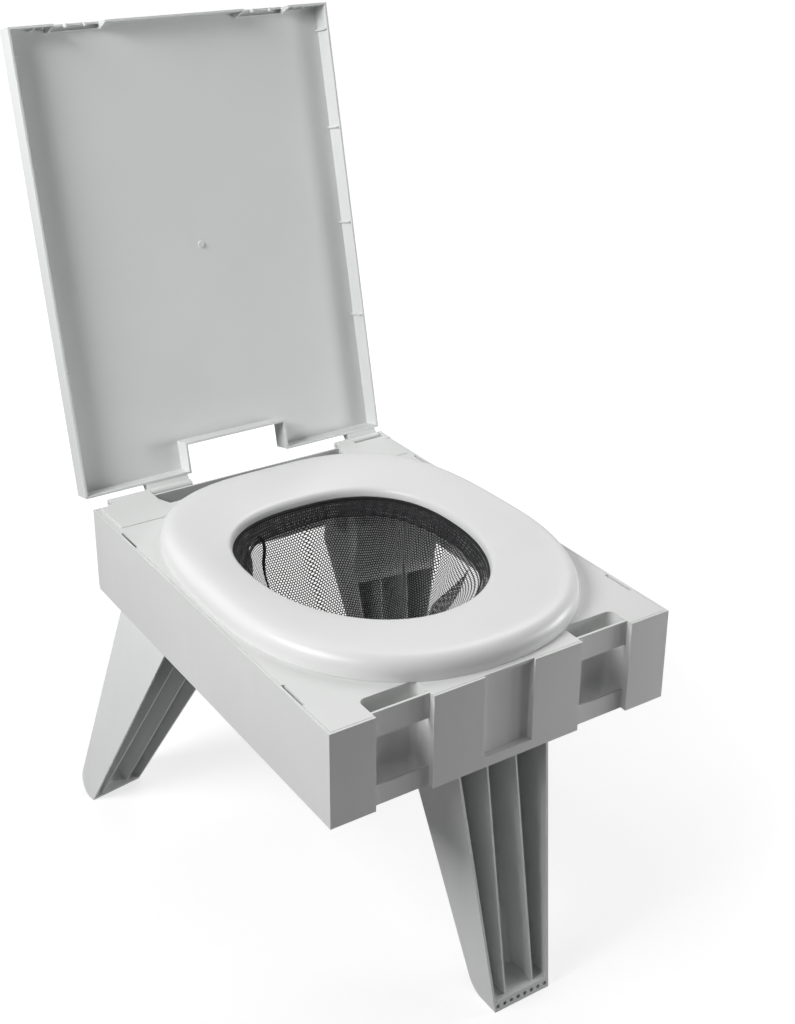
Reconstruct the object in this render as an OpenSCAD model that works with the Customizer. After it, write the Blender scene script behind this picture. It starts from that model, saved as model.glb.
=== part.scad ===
// Folding portable toilet: a shallow case on a tripod of folding legs, with a seat,
// a hanging mesh bag and a lid that shuts down over the seat.
// Lengths are in millimetres. The case is drawn with its deck at z = 0 and its middle
// at x = y = 0, and stand() lifts it onto its feet.

/* [Case] */
// Width of the case, side to side
case_w = 380; // [370:1:420]
// Length of the case, front to back
case_l = 500; // [490:1:530]
// Height of the tub, from its bottom rim to the deck
tub_h = 97.3; // [95:0.1:104]
// Height of the deck above the ground
deck_h = 355; // [330:1:390]
// Thickness of the tub's walls
wall_t = 2.5; // [2:0.1:3]
// Thickness of the deck plate
deck_t = 3; // [2.6:0.1:3.4]
// Gap round the deck plate, inside the tub's walls
deck_gap = 0.4; // [0.2:0.1:0.8]
// Width of the ledge that the deck plate lies on
ledge_w = 3.5; // [2.5:0.1:5]
// Thickness of that ledge
ledge_t = 3; // [2:0.1:5]

/* [Front handles] */
// Half the width of the front centre panel
panel_half = 83.3; // [80:0.1:86]
// Clear width of each hand hold
hold_w = 60.1; // [54:0.1:66]
// How far a hand hold reaches back from the case's front
hold_depth = 31; // [28:0.5:36]
// Corner radius of a hand hold
hold_r = 7; // [4:0.5:10]
// How far the rails lie behind the front panels
rail_back = 7; // [5:0.5:9]
// Thickness of a rail
rail_t = 2.5; // [2:0.1:3]
// Height of the top rail
rail_top_h = 26; // [20:0.5:30]
// Height of the lower rail
rail_low_h = 20.5; // [16:0.5:26]
// Half the width of the recess in the centre panel
recess_half = 28.2; // [22:0.1:34]
// Depth of that recess
recess_depth = 8; // [5:0.5:9]
// Height of the strip under the recess
recess_strip = 10.3; // [7:0.1:14]

/* [Deck details] */
// Length of a snap slot at the deck's side edges
slot_l = 37; // [25:1:45]
// Width of a snap slot
slot_w = 3; // [2:0.1:3.4]
// Distance of the front slots from the case's front to their middle
slot_front = 68.5; // [60:0.5:80]
// Distance of the rear slots from the case's back to their middle
slot_rear = 87; // [80:0.5:95]
// Half the width of the recess behind the seat
well_half = 121; // [112:1:126]
// How far that recess reaches in from the case's back
well_depth = 29; // [24:1:31]
// Chamfer at the recess's inner corners
well_chamfer = 9; // [5:1:12]

/* [Seat] */
// Half the width of the seat
seat_half = 184; // [176:1:184]
// Distance from the case's front to the seat's front edge
seat_front = 9; // [8:0.5:14]
// Distance from the case's back to the seat's rear edge
seat_rear = 36; // [32:0.5:42]
// Height of the seat above the deck
seat_h = 22; // [19:0.5:22.5]
// Thickness of the seat's shell
seat_t = 3; // [2.4:0.1:3.4]
// Half the width of the hole through the seat
hole_half = 121; // [112:1:124]
// Length of the seat in front of the hole
hole_front = 94; // [94:1:103]
// Length of the seat behind the hole
hole_rear = 80; // [78:1:88]
// Gap between the seat's throat and the hole in the deck
throat_gap = 1; // [0.6:0.1:2]

/* [Lid] */
// Length of the lid
lid_l = 504; // [502:1:520]
// Depth of the lid
lid_d = 25.5; // [25:0.5:34]
// Thickness of the lid's walls
lid_wall = 2.5; // [2:0.1:2.6]
// Gap between the shut lid's rim and the deck
lid_gap = 1.4; // [1.3:0.1:2.5]
// Angle that the lid opens through
lid_open = 103; // [95:1:112]
// Half the width of the notch in the lid's hinge edge
notch_half = 62; // [56:1:64]
// Gap between the seat's back and the notch's wall when the lid is shut
notch_gap = 0.5; // [0.4:0.1:3]
// Width of each cut-out over a hand hold
cutout_w = 56.5; // [50:0.5:60]
// Height left of the lid's front wall at a cut-out
cutout_sill = 8.5; // [7:0.5:11]
// Number of ribs on each side wall
lid_ribs = 4; // [2:1:6]
// Distance from one rib to the next
lid_rib_pitch = 111.7; // [60:0.1:112]
// Distance from the hinge edge to the first rib
lid_rib_first = 139.3; // [120:0.1:144]
// How far a rib stands out from its wall
lid_rib_out = 3; // [1.5:0.1:3.2]

/* [Lid hinges] */
// Radius of a hinge pin
hinge_pin_r = 2; // [1.5:0.1:2.5]
// Radius of a hinge knuckle
knuckle_r = 5.5; // [4.8:0.1:5.6]
// Running clearance between a pin and its bore
run_fit = 0.05; // [0.03:0.01:0.08]
// Distance of the hinge axis behind the case
hinge_back = 10.4; // [10:0.1:12]
// Depth of the hinge axis below the deck
hinge_drop = 3.7; // [3:0.1:4.5]
// Thickness of the hinge plates on the deck
plate_t = 1.1; // [0.8:0.1:1.1]
// Gap between neighbouring knuckles
knuckle_gap = 0.8; // [0.5:0.1:1.2]
// Length of a lid knuckle of the left hinge
knuckle_left_l = 51; // [44:0.5:52]
// Length of a lid knuckle of the right hinge
knuckle_right_l = 39; // [32:0.5:40]

/* [Front leg] */
// Lean of the leg's open face, from upright
front_lean = 9.7; // [6:0.1:12]
// Lean of the leg's closed face, from upright
front_lean_closed = 21.6; // [20:0.1:22.5]
// Depth of the leg at the ground
front_foot_depth = 36.4; // [34:0.1:40]
// Half the width of the leg at the ground
front_foot_half = 32.4; // [28:0.1:36]
// Half the width of the leg at the tub
front_root_half = 52.2; // [46:0.1:54]
// Gap between the open leg and the tub's front wall
front_leg_gap = 2.7; // [2:0.1:4]
// Depth of the leg's pivot below the deck
front_pivot_drop = 33; // [30:0.5:38]
// Height of the solid foot
front_sole = 11; // [8:0.5:14]
// Number of holes along the foot
foot_holes = 8; // [4:1:9]

/* [Rear legs] */
// Turn of each rear hinge axis, seen from above
rear_turn = 9.5; // [8:0.1:11]
// Distance from the case's side to the middle of the leg, at the tub's rim
rear_side = 73; // [70:0.5:80]
// Distance from the case's back to the leg's open face, at the tub's rim
rear_back = 132.5; // [130:0.5:140]
// Lean of the leg's open face, from upright
rear_lean = 26; // [25:0.1:27]
// Lean of the leg's closed face, from upright
rear_lean_closed = 13.6; // [13:0.1:14.5]
// Sideways slant of the leg's middle line, from upright
rear_slant = 13; // [11:0.1:14]
// Depth of the leg at the ground
rear_foot_depth = 32.4; // [30:0.1:36]
// Half the width of the leg at the ground
rear_foot_half = 31.4; // [28:0.1:34]
// Half the width of the leg at the tub
rear_root_half = 51; // [46:0.1:51.5]
// Depth of the leg's pivot below the deck
rear_pivot_drop = 48; // [45:0.5:52]
// Height of the solid foot
rear_sole = 3.5; // [3:0.5:8]

/* [Leg shells] */
// Thickness of a leg's walls
leg_wall = 2.5; // [2:0.1:3]
// Thickness of the two ribs in a leg
leg_rib_t = 1.8; // [1.2:0.1:2.5]
// Distance of a rib from the leg's middle line
leg_rib_off = 16.5; // [13:0.1:18]
// How far a rib stops short of the leg's open face
leg_rib_back = 4; // [3.5:0.5:8]
// Radius of the rounding at the heel of a foot
heel_r = 22; // [16:1:24]
// Gap between a folded leg's face and the tub's bottom rim
fold_gap = 1.3; // [1:0.1:2]
// Radius of the leg pins
leg_pin_r = 4; // [3:0.1:5]
// Outer radius of the bosses that turn on the pins
boss_r = 8; // [6.5:0.1:9]
// Length of a boss inside the leg's wall
boss_l = 6; // [3:0.5:9]

/* [Leg brackets] */
// Thickness of a bracket's top plate
bracket_t = 2.6; // [2.2:0.1:3]
// Clearance between the bracket and the leg's root
root_clear = 0.4; // [0.3:0.1:0.8]
// Gap between the front bracket's plate and the hole through the seat
bracket_gap = 4.9; // [4.5:0.1:7]
// Thickness of a bracket's ears
ear_t = 4.5; // [3.5:0.1:4.6]
// Half the length of a bracket's ears
ear_half = 12; // [10:0.5:13]
// Side gap between an ear and the leg
ear_gap = 0.8; // [0.5:0.1:1]
// Radius of the bracket screws
screw_r = 1.75; // [1.4:0.05:2.1]
// Length of the bracket screws
screw_l = 13; // [11:0.5:14]
// Head radius of the bracket screws
screw_head_r = 3.3; // [2.8:0.1:3.6]
// Head height of the bracket screws
screw_head_h = 1.6; // [1.2:0.1:1.9]

/* [Mesh bag] */
// Depth of the bag under the deck
bag_depth = 150; // [110:1:180]
// Thickness of the bag's solid
bag_t = 1.2; // [0.8:0.1:2]
// Depth of the folds at the middle of the bag
fold_depth = 5; // [2:0.5:8]
// Number of folds round the bag
fold_count = 9; // [6:1:12]
// Radius of the hoop that carries the bag
hoop_r = 2; // [1.6:0.1:2.1]
// Number of clips round the hoop
clip_count = 8; // [6:1:12]
// Length of a clip along the hoop
clip_l = 9; // [6:0.5:12]
// Width of the drawstring tape
tape_w = 5; // [3:0.5:7]
// Thickness of the drawstring tape
tape_t = 1.6; // [1.2:0.1:2.4]
// Gap between the tape and the bag's wall
tape_gap = 2.3; // [2:0.1:3]

/* [Hidden] */
$fn = 48;

// Colours of the moulded plastic, the mesh and the metal
plastic = [0.80, 0.81, 0.80];
plastic_cool = [0.74, 0.76, 0.75];
mesh_black = [0.06, 0.06, 0.06];
metal = [0.70, 0.70, 0.72];

// Small amount that cuts run past the faces that they open
over = wall_t / 5;
half_turn = 180;

// Case
half_w = case_w / 2;
half_l = case_l / 2;
inner_w = half_w - wall_t;
inner_l = half_l - wall_t;
hold_in = panel_half;
hold_out = panel_half + hold_w;
hold_y = -half_l + hold_depth;
rail_y = -half_l + rail_back;
recess_y = -half_l + recess_depth;
rear_chamfer = wall_t * 2.4;

// Front and rear edges of the seat and its hole, their widest lines and their fullness
seat_y = [-half_l + seat_front, half_l - seat_rear];
hole_y = [seat_y[0] + hole_front, seat_y[1] - hole_rear];
seat_wide_share = 0.14;
hole_wide_share = 0.07;
seat_wide_y = hole_y[0] * seat_wide_share;
hole_wide_y = hole_y[1] * hole_wide_share;
seat_fullness = [2.25, 3];
hole_fullness = [2.05, 2.5];

// Lid, drawn shut and then turned open about the hinge axis
hinge_y = half_l + hinge_back;
hinge_z = -hinge_drop;
lid_rear = half_l;
lid_front = lid_rear - lid_l;
lid_top = lid_gap + lid_d;
lid_lean = lid_open - 90;
cutout_out = hold_in + cutout_w;

// Legs
root_top = -(deck_t + bracket_t + root_clear);
fold_z = -tub_h + fold_gap;
root_depth = root_top - fold_z;
front_pivot_z = -front_pivot_drop;
rear_pivot_z = -rear_pivot_drop;
front_open_rim = -inner_l + front_leg_gap;
front_open_foot = front_open_rim - (deck_h - tub_h) * tan(front_lean);
front_pivot_y = open_front(front_pivot_z) + (front_pivot_z - fold_z) / cos(front_lean);
front_fold = 90 + front_lean;

// Rear leg, in a frame turned by rear_turn: w runs along the hinge axis, n runs back
rear_rim_x = -half_w + rear_side;
rear_rim_y = half_l - rear_back;
rear_rim_w = rear_rim_x * cos(rear_turn) + rear_rim_y * sin(rear_turn);
rear_rim_n = -rear_rim_x * sin(rear_turn) + rear_rim_y * cos(rear_turn);
rear_open_foot = rear_rim_n + (deck_h - tub_h) * tan(rear_lean);
rear_closed_foot = rear_open_foot + rear_foot_depth;
rear_foot_w = rear_rim_w - (deck_h - tub_h) * tan(rear_slant);
rear_pivot_n = closed_rear(rear_pivot_z) - (rear_pivot_z - fold_z) / cos(rear_lean_closed);
rear_fold = 90 + rear_lean_closed;

// Height and place of the stand
front_reach = front_open_foot;
lid_back_y = hinge_y + hinge_back * sin(lid_lean) + (lid_gap + hinge_drop) * cos(lid_lean)
    + lid_l * sin(lid_lean) + lid_d * cos(lid_lean);
centre_y = (front_reach + lid_back_y) / 2;

// Number of stations round the egg-shaped outlines
ring_steps = 88;
bag_steps = 60;

// Open face of the front leg at a height
function open_front(z) = front_open_rim + (z + tub_h) * tan(front_lean);
// Closed face of the front leg at a height
function closed_front(z) = front_open_foot + front_foot_depth + (z + deck_h) * tan(front_lean_closed);
// Open face of the rear leg at a height
function open_rear(z) = rear_rim_n - (z + tub_h) * tan(rear_lean);
// Closed face of the rear leg at a height
function closed_rear(z) = rear_closed_foot - (z + deck_h) * tan(rear_lean_closed);

// Points of an arc round [cy, cz]
function arc(cy, cz, r, a0, a1, n) = [for (i = [0:n]) let (a = a0 + (a1 - a0) * i / n)
    [cy + r * cos(a), cz + r * sin(a)]];

// Egg-shaped outlines: half width, front and rear lengths from its widest line, and fullness
function sgn_pow(v, e) = (v < 0 ? -1 : 1) * pow(abs(v), e);
function egg(half, front, rear, y0, full_front, full_rear, a) =
    let (full = sin(a) < 0 ? full_front : full_rear, reach = sin(a) < 0 ? front : rear)
    [half * sgn_pow(cos(a), 2 / full), y0 + reach * sgn_pow(sin(a), 2 / full)];
function seat_edge(a, grow = 0) = egg(seat_half + grow, seat_wide_y - seat_y[0] + grow,
    seat_y[1] - seat_wide_y + grow, seat_wide_y, seat_fullness[0], seat_fullness[1], a);
function hole_edge(a, grow = 0) = egg(hole_half + grow, hole_wide_y - hole_y[0] + grow,
    hole_y[1] - hole_wide_y + grow, hole_wide_y, hole_fullness[0], hole_fullness[1], a);

// Closed surface through rings of equal length; a loop joins the last ring to the first
function ring_faces(rings, count, loop) = [
    for (i = [0:(loop ? rings - 1 : rings - 2)]) for (j = [0:count - 1])
        let (k = (i + 1) % rings, m = (j + 1) % count)
        each [[i * count + j, k * count + j, k * count + m], [i * count + j, k * count + m, i * count + m]]];

// Solid through a closed loop of rings
module ring_solid(rings) {
    count = len(rings[0]);
    polyhedron(points = [for (r = rings) each r], faces = ring_faces(len(rings), count, true), convexity = 6);
}

module stand() {
    translate([0, -centre_y, deck_h]) children();
}

// Box from one corner to the other
module block(x, y, z) {
    translate([x[0], y[0], z[0]]) cube([x[1] - x[0], y[1] - y[0], z[1] - z[0]]);
}

// Both sides of the case
module both_sides() {
    children();
    mirror([1, 0, 0]) children();
}

// Extrudes a side view, drawn in y and z, across a span of x
module across(x0, x1) {
    translate([x0, 0, 0]) rotate([90, 0, 90]) linear_extrude(x1 - x0) children();
}

// Plan of a hand hold, with round inner corners, grown by a wall
module hold_plan(grow, front) {
    r = hold_r + grow;
    x0 = hold_in - grow;
    x1 = hold_out + grow;
    y1 = hold_y + grow;
    translate([x0, front]) square([x1 - x0, y1 - r - front]);
    translate([x0 + r, front]) square([x1 - x0 - 2 * r, y1 - front]);
    translate([x0 + r, y1 - r]) circle(r);
    translate([x1 - r, y1 - r]) circle(r);
}

module front_panels() {
    strip_z = -tub_h + recess_strip;
    both_sides() {
        block([hold_out, half_w], [-half_l, -inner_l], [-tub_h, 0]);
        block([recess_half, hold_in], [-half_l, -inner_l], [-tub_h, 0]);
        block([recess_half, recess_half + wall_t], [-half_l, recess_y + wall_t], [strip_z - wall_t, -deck_t]);
        // rails across the hand hold
        block([hold_in, hold_out], [rail_y, rail_y + rail_t], [-rail_top_h, 0]);
        block([hold_in, hold_out], [rail_y, rail_y + rail_t], [-tub_h, -tub_h + rail_low_h]);
        // walls of the hand hold
        translate([0, 0, -tub_h]) linear_extrude(tub_h - deck_t) difference() {
            hold_plan(wall_t, -half_l);
            hold_plan(0, -half_l - over);
        }
    }
    block([-recess_half, recess_half], [-half_l, -inner_l], [-tub_h, strip_z]);
    block([-recess_half, recess_half], [recess_y, recess_y + wall_t], [strip_z - wall_t, -deck_t]);
    block([-recess_half, recess_half], [-half_l + wall_t, recess_y + wall_t], [strip_z - wall_t, strip_z]);
}

module slot_gaps(z0, z1) {
    for (y = [-half_l + slot_front, half_l - slot_rear]) both_sides()
        block([inner_w - slot_w - deck_gap, inner_w], [y - slot_l / 2, y + slot_l / 2], [z0, z1]);
}

ledge_z = [-deck_t - ledge_t, -deck_t];
module base_tub() {
    color(plastic) stand() union() {
        difference() {
            union() {
                both_sides() block([inner_w, half_w], [-half_l, half_l], [-tub_h, 0]);
                block([-half_w, half_w], [inner_l, half_l], [-tub_h, 0]);
                // ledges under the deck plate
                difference() {
                    union() {
                        both_sides() block([inner_w - ledge_w, inner_w], [-inner_l, inner_l], ledge_z);
                        both_sides() block([well_half, inner_w], [inner_l - ledge_w, inner_l], ledge_z);
                    }
                    slot_gaps(ledge_z[0] - over, over);
                }
            }
            // chamfer along the rear bottom edge
            across(-half_w - over, half_w + over) polygon([
                [half_l - rear_chamfer * 0.4, -tub_h - over],
                [half_l + over, -tub_h - over],
                [half_l + over, -tub_h + rear_chamfer]]);
        }
        front_panels();
    }
}

// Plan of the well behind the seat, cut from the deck's rear edge
module well_plan() {
    y0 = half_l - well_depth;
    polygon([
        [-well_half, half_l], [-well_half, inner_l - wall_t], [-well_half + well_chamfer, y0],
        [well_half - well_chamfer, y0], [well_half, inner_l - wall_t], [well_half, half_l]]);
}

module deck_plan() {
    difference() {
        square([2 * (inner_w - deck_gap), 2 * (inner_l - deck_gap)], center = true);
        polygon([for (i = [0:ring_steps - 1]) hole_edge(i * 360 / ring_steps, seat_t + throat_gap)]);
        both_sides() hold_plan(0, -half_l);
        well_plan();
    }
}

module deck_plate() {
    color(plastic) stand() difference() {
        translate([0, 0, -deck_t]) linear_extrude(deck_t) deck_plan();
        slot_gaps(-deck_t - over, over);
        screw_places() translate([0, 0, -deck_t - over])
            cylinder(r = screw_r + deck_gap / 2, h = deck_t + 2 * over);
    }
}

// Outer skin of the seat's section, as shares of the seat's height. The lip rises from the throat's
// bottom edge: [distance out, height]. The slope climbs from the lip to the crest: [share of the way,
// share of the climb]. The brow falls from the crest to the foot: [distance in from the foot, height].
throat_z = 0.5;
lip_shares = [[0, 0.02], [0.01, 0.18], [0.055, 0.32], [0.16, 0.445], [0.41, 0.555]];
slope_shares = [[0.3, 0.38], [0.65, 0.78]];
brow_shares = [[0.86, 1], [0.56, 0.965], [0.32, 0.865], [0.15, 0.71], [0.045, 0.5], [0, 0.23], [0, 0]];
throat_bottom = throat_z + lip_shares[0][1] * seat_h;

// Outer skin across a band of the seat, from the throat to the foot, as [distance out, height]
function seat_skin(span) = let (
        lip = [for (r = lip_shares) [r[0] * seat_h, throat_z + r[1] * seat_h]],
        brow = [for (r = brow_shares) [span - r[0] * seat_h, r[1] * seat_h]],
        start = lip[len(lip) - 1],
        climb = brow[0] - start)
    concat(lip, [for (r = slope_shares) start + [r[0] * climb[0], r[1] * climb[1]]], brow);

// The same skin moved in by the shell's thickness
function inner_skin(path) = [for (i = [0:len(path) - 1])
    let (t = path[min(i + 1, len(path) - 1)] - path[max(i - 1, 0)], u = t / norm(t))
    [path[i][0] + u[1] * seat_t, i == 0 ? path[0][1] : max(0, path[i][1] - u[0] * seat_t)]];

// A section's points at an angle, carried out to the seat's plan
function on_plan(a, path) = let (p = hole_edge(a), q = seat_edge(a), d = (q - p) / norm(q - p))
    [for (c = path) [p[0] + d[0] * c[0], p[1] + d[1] * c[0], c[1]]];
function band(a) = norm(seat_edge(a) - hole_edge(a));
function reversed(list) = [for (i = [len(list) - 1:-1:0]) list[i]];

module seat_shell() {
    ring_solid([for (i = [0:ring_steps - 1]) let (a = i * 360 / ring_steps, skin = seat_skin(band(a)))
        on_plan(a, concat(skin, reversed(inner_skin(skin))))]);
}

// The seat's outer skin filled down to the deck, which shapes the tops of the screw bosses
module seat_filled() {
    ring_solid([for (i = [0:ring_steps - 1]) let (a = i * 360 / ring_steps, skin = seat_skin(band(a)))
        on_plan(a, concat(skin, [[0, 0]]))]);
}

module seat_ring() {
    bore_h = screw_l - bracket_t - deck_t + screw_r / 2;
    color(plastic) stand() union() {
        seat_shell();
        difference() {
            intersection() {
                screw_places() cylinder(r = screw_r + seat_t * 0.8, h = seat_h);
                translate([0, 0, -seat_t / 2]) seat_filled();
                translate([-half_w, -half_l, 0]) cube([case_w, case_l, seat_h]);
            }
            screw_places() translate([0, 0, -over]) cylinder(r = screw_r + run_fit, h = bore_h + over);
        }
    }
}

// Mesh bag: rings of the hole's outline, drawn in with depth, with soft folds
bag_shares = [[0.985, 0.02], [0.93, 0.055], [0.89, 0.13], [0.84, 0.26], [0.78, 0.42], [0.70, 0.60],
    [0.58, 0.78], [0.40, 0.92], [0.20, 0.985]];
function bag_point(row, a, in) =
    let (p = hole_edge(a), wave = fold_depth * sin(row[1] * 180) * cos(fold_count * a + 40 * row[1]),
        c = [0, hole_wide_y], d = p - c, r = norm(d) * row[0] + wave - in)
    [c[0] + d[0] / norm(d) * r, c[1] + d[1] / norm(d) * r, -row[1] * bag_depth + in * (row[1] > 0.7 ? 1 : 0)];

module net_bag() {
    outer = [for (row = bag_shares) [for (j = [0:bag_steps - 1]) bag_point(row, j * 360 / bag_steps, 0)]];
    inner = [for (row = bag_shares) [for (j = [0:bag_steps - 1]) bag_point(row, j * 360 / bag_steps, bag_t)]];
    rows = len(bag_shares);
    count = bag_steps;
    middle_out = [0, hole_wide_y, -bag_depth];
    middle_in = [0, hole_wide_y, -bag_depth + bag_t];
    points = concat([for (r = outer) each r], [for (i = [rows - 1:-1:0]) each inner[i]],
        [middle_out, middle_in]);
    last = (rows - 1) * count;
    first_in = rows * count;
    total = 2 * rows * count;
    color(mesh_black) stand() polyhedron(
        points = points,
        faces = concat(
            // outer wall, inner wall and the hem that joins them
            [for (i = [0:rows - 2]) for (j = [0:count - 1]) let (m = (j + 1) % count)
                each [[i * count + j, i * count + m, (i + 1) * count + m],
                    [i * count + j, (i + 1) * count + m, (i + 1) * count + j]]],
            [for (i = [rows:2 * rows - 2]) for (j = [0:count - 1]) let (m = (j + 1) % count)
                each [[i * count + j, i * count + m, (i + 1) * count + m],
                    [i * count + j, (i + 1) * count + m, (i + 1) * count + j]]],
            [for (j = [0:count - 1]) let (m = (j + 1) % count, top = (2 * rows - 1) * count)
                each [[top + j, top + m, m], [top + j, m, j]]],
            [for (j = [0:count - 1]) let (m = (j + 1) % count) [last + j, last + m, total]],
            [for (j = [0:count - 1]) let (m = (j + 1) % count) [first_in + m, first_in + j, total + 1]]),
        convexity = 8);
}

// Hoop that the bag hangs on, just under the throat
hoop_z = throat_bottom - hoop_r - run_fit;
hoop_sides = 8;
module net_hoop() {
    color(mesh_black) stand() ring_solid([for (i = [0:ring_steps - 1]) let (a = i * 360 / ring_steps)
        [for (j = [0:hoop_sides - 1]) let (t = -j * 360 / hoop_sides, p = hole_edge(a, hoop_r * cos(t)))
            [p[0], p[1], hoop_z + hoop_r * sin(t)]]]);
}

// Clips that hold the hoop up under the throat
module net_clips() {
    clip_t = throat_gap;
    foot_z = hoop_z - hoop_r - run_fit;
    back_y = -hoop_r - 2 * run_fit;
    color(plastic_cool) stand() for (i = [0:clip_count - 1]) {
        a = (i + 0.5) * 360 / clip_count;
        p = hole_edge(a);
        q = hole_edge(a + 1);
        turn = atan2(q[1] - p[1], q[0] - p[0]);
        // the x axis of a clip runs along the hoop, and its y axis points in
        translate([p[0], p[1], 0]) rotate([0, 0, turn]) {
            along = [-clip_l / 2, clip_l / 2];
            block(along, [back_y - clip_t, back_y], [foot_z - clip_t, throat_bottom]);
            block(along, [back_y - over, hoop_r / 2], [foot_z - clip_t, foot_z]);
        }
    }
}

// Drawstring tape inside the bag: places down the bag's wall as [angle, share of the bag's depth]
tape_shares = [[118, 0.05], [116, 0.10], [117, 0.17], [121, 0.25], [124, 0.33], [124, 0.42], [127, 0.50],
    [133, 0.58], [138, 0.65], [140, 0.72]];
function shares_at(s) = let (pairs = bag_shares, k = [for (i = [0:len(pairs) - 2]) if (s >= pairs[i][1]) i])
    let (i = len(k) == 0 ? 0 : max(k), f = (s - pairs[i][1]) / (pairs[i + 1][1] - pairs[i][1]))
    pairs[i] + (pairs[i + 1] - pairs[i]) * f;
function tape_point(t) = bag_point(shares_at(t[1]), t[0], bag_t + tape_gap + tape_t / 2);

module drawstring_tape() {
    path = [for (t = tape_shares) tape_point(t)];
    last = len(path) - 1;
    rings = [for (i = [0:last]) let (
        d = path[min(i + 1, last)] - path[max(i - 1, 0)],
        inward = [-path[i][0], hole_wide_y - path[i][1], 0],
        n1 = cross(d, inward), side = n1 / norm(n1), n2 = cross(side, d), thick = n2 / norm(n2))
        [for (j = [0:7]) path[i] + side * tape_w / 2 * cos(j * 45) + thick * tape_t / 2 * sin(j * 45)]];
    color(mesh_black) stand() polyhedron(
        points = [for (r = rings) each r],
        faces = concat(
            [for (f = ring_faces(last + 1, 8, false)) [f[2], f[1], f[0]]],
            [[for (j = [7:-1:0]) j]], [[for (j = [0:7]) last * 8 + j]]),
        convexity = 6);
}

// Spans of the knuckles along x
left_split = -well_half + wall_t;
left_lid_x = [left_split, left_split + knuckle_left_l];
left_base_x = [left_split - knuckle_gap - knuckle_left_l * 0.94, left_split - knuckle_gap];
right_lid_x = [inner_w - knuckle_gap * 4 - knuckle_right_l, inner_w - knuckle_gap * 4];
right_base_x = [right_lid_x[0] - knuckle_gap - knuckle_right_l * 0.5, right_lid_x[0] - knuckle_gap];
right_end_x = [right_lid_x[1] + knuckle_gap, half_w];
plate_out = half_w - wall_t * 3.2;
plate_front = half_l - well_depth * 2;

// Barrel of a base hinge, carried over the tub's rear wall
module base_barrel(x) {
    web_t = knuckle_r * 2;
    difference() {
        union() {
            translate([x[0], hinge_y, hinge_z]) rotate([0, 90, 0]) cylinder(r = knuckle_r, h = x[1] - x[0]);
            across(x[0], x[1]) polygon([
                [half_l, plate_t], [half_l + hinge_back / 5, plate_t],
                [hinge_y - knuckle_r / 3, hinge_z + knuckle_r * 0.94],
                [hinge_y, hinge_z], [hinge_y, hinge_z - knuckle_r], [half_l, hinge_z - knuckle_r]]);
            block(x, [inner_l - wall_t, half_l], [0, plate_t]);
        }
        translate([x[0] - over, hinge_y, hinge_z]) rotate([0, 90, 0])
            cylinder(r = hinge_pin_r + run_fit, h = x[1] - x[0] + 2 * over);
    }
}

module hinge_plate(x) {
    block(x, [plate_front, inner_l], [0, plate_t]);
}

module hinge_base_left() {
    color(plastic) stand() union() {
        hinge_plate([-plate_out, left_split - knuckle_gap]);
        base_barrel(left_base_x);
    }
}

module hinge_base_right() {
    color(plastic) stand() union() {
        hinge_plate([right_base_x[0] - knuckle_r, plate_out]);
        base_barrel(right_base_x);
        base_barrel(right_end_x);
        // strip that ties the end barrel to the plate
        block([plate_out - over, right_end_x[1]], [inner_l - ledge_w * 2, inner_l], [0, plate_t]);
    }
}

module hinge_pin(x) {
    color(metal) stand() translate([x[0] + knuckle_gap, hinge_y, hinge_z]) rotate([0, 90, 0])
        cylinder(r = hinge_pin_r, h = x[1] - x[0] - 2 * knuckle_gap);
}

module hinge_pin_left() {
    hinge_pin([left_base_x[0], left_lid_x[1]]);
}

module hinge_pin_right() {
    hinge_pin([right_base_x[0], right_end_x[1]]);
}

// Turns a piece drawn on the shut lid into the open pose
module opened() {
    translate([0, hinge_y, hinge_z]) rotate([-lid_open, 0, 0]) translate([0, -hinge_y, -hinge_z]) children();
}

module lid_leaf(x, leaf_x) {
    leaf_h = lid_d * 0.45;
    difference() {
        union() {
            translate([x[0], hinge_y, hinge_z]) rotate([0, 90, 0]) cylinder(r = knuckle_r, h = x[1] - x[0]);
            across(leaf_x[0], leaf_x[1]) polygon([
                [lid_rear, lid_gap + plate_t / 2], [hinge_y - knuckle_r * 0.72, hinge_z + knuckle_r * 0.4],
                [hinge_y, hinge_z + knuckle_r * 0.6], [hinge_y + knuckle_r * 0.95, hinge_z + knuckle_r * 0.3],
                [hinge_y + knuckle_r * 0.7, hinge_z + knuckle_r * 1.5], [lid_rear + wall_t, lid_gap + leaf_h],
                [lid_rear, lid_gap + leaf_h]]);
        }
        translate([x[0] - over, hinge_y, hinge_z]) rotate([0, 90, 0])
            cylinder(r = hinge_pin_r + run_fit, h = x[1] - x[0] + 2 * over);
    }
}

module lid_hinge_left() {
    color(plastic) stand() opened() lid_leaf(left_lid_x, left_lid_x);
}

module lid_hinge_right() {
    color(plastic) stand() opened() lid_leaf(right_lid_x, right_lid_x);
}

// Places of the short ribs, as shares of the way from a cut-out to the lid's side wall
corner_rib_shares = [0.21, 0.42];

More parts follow.
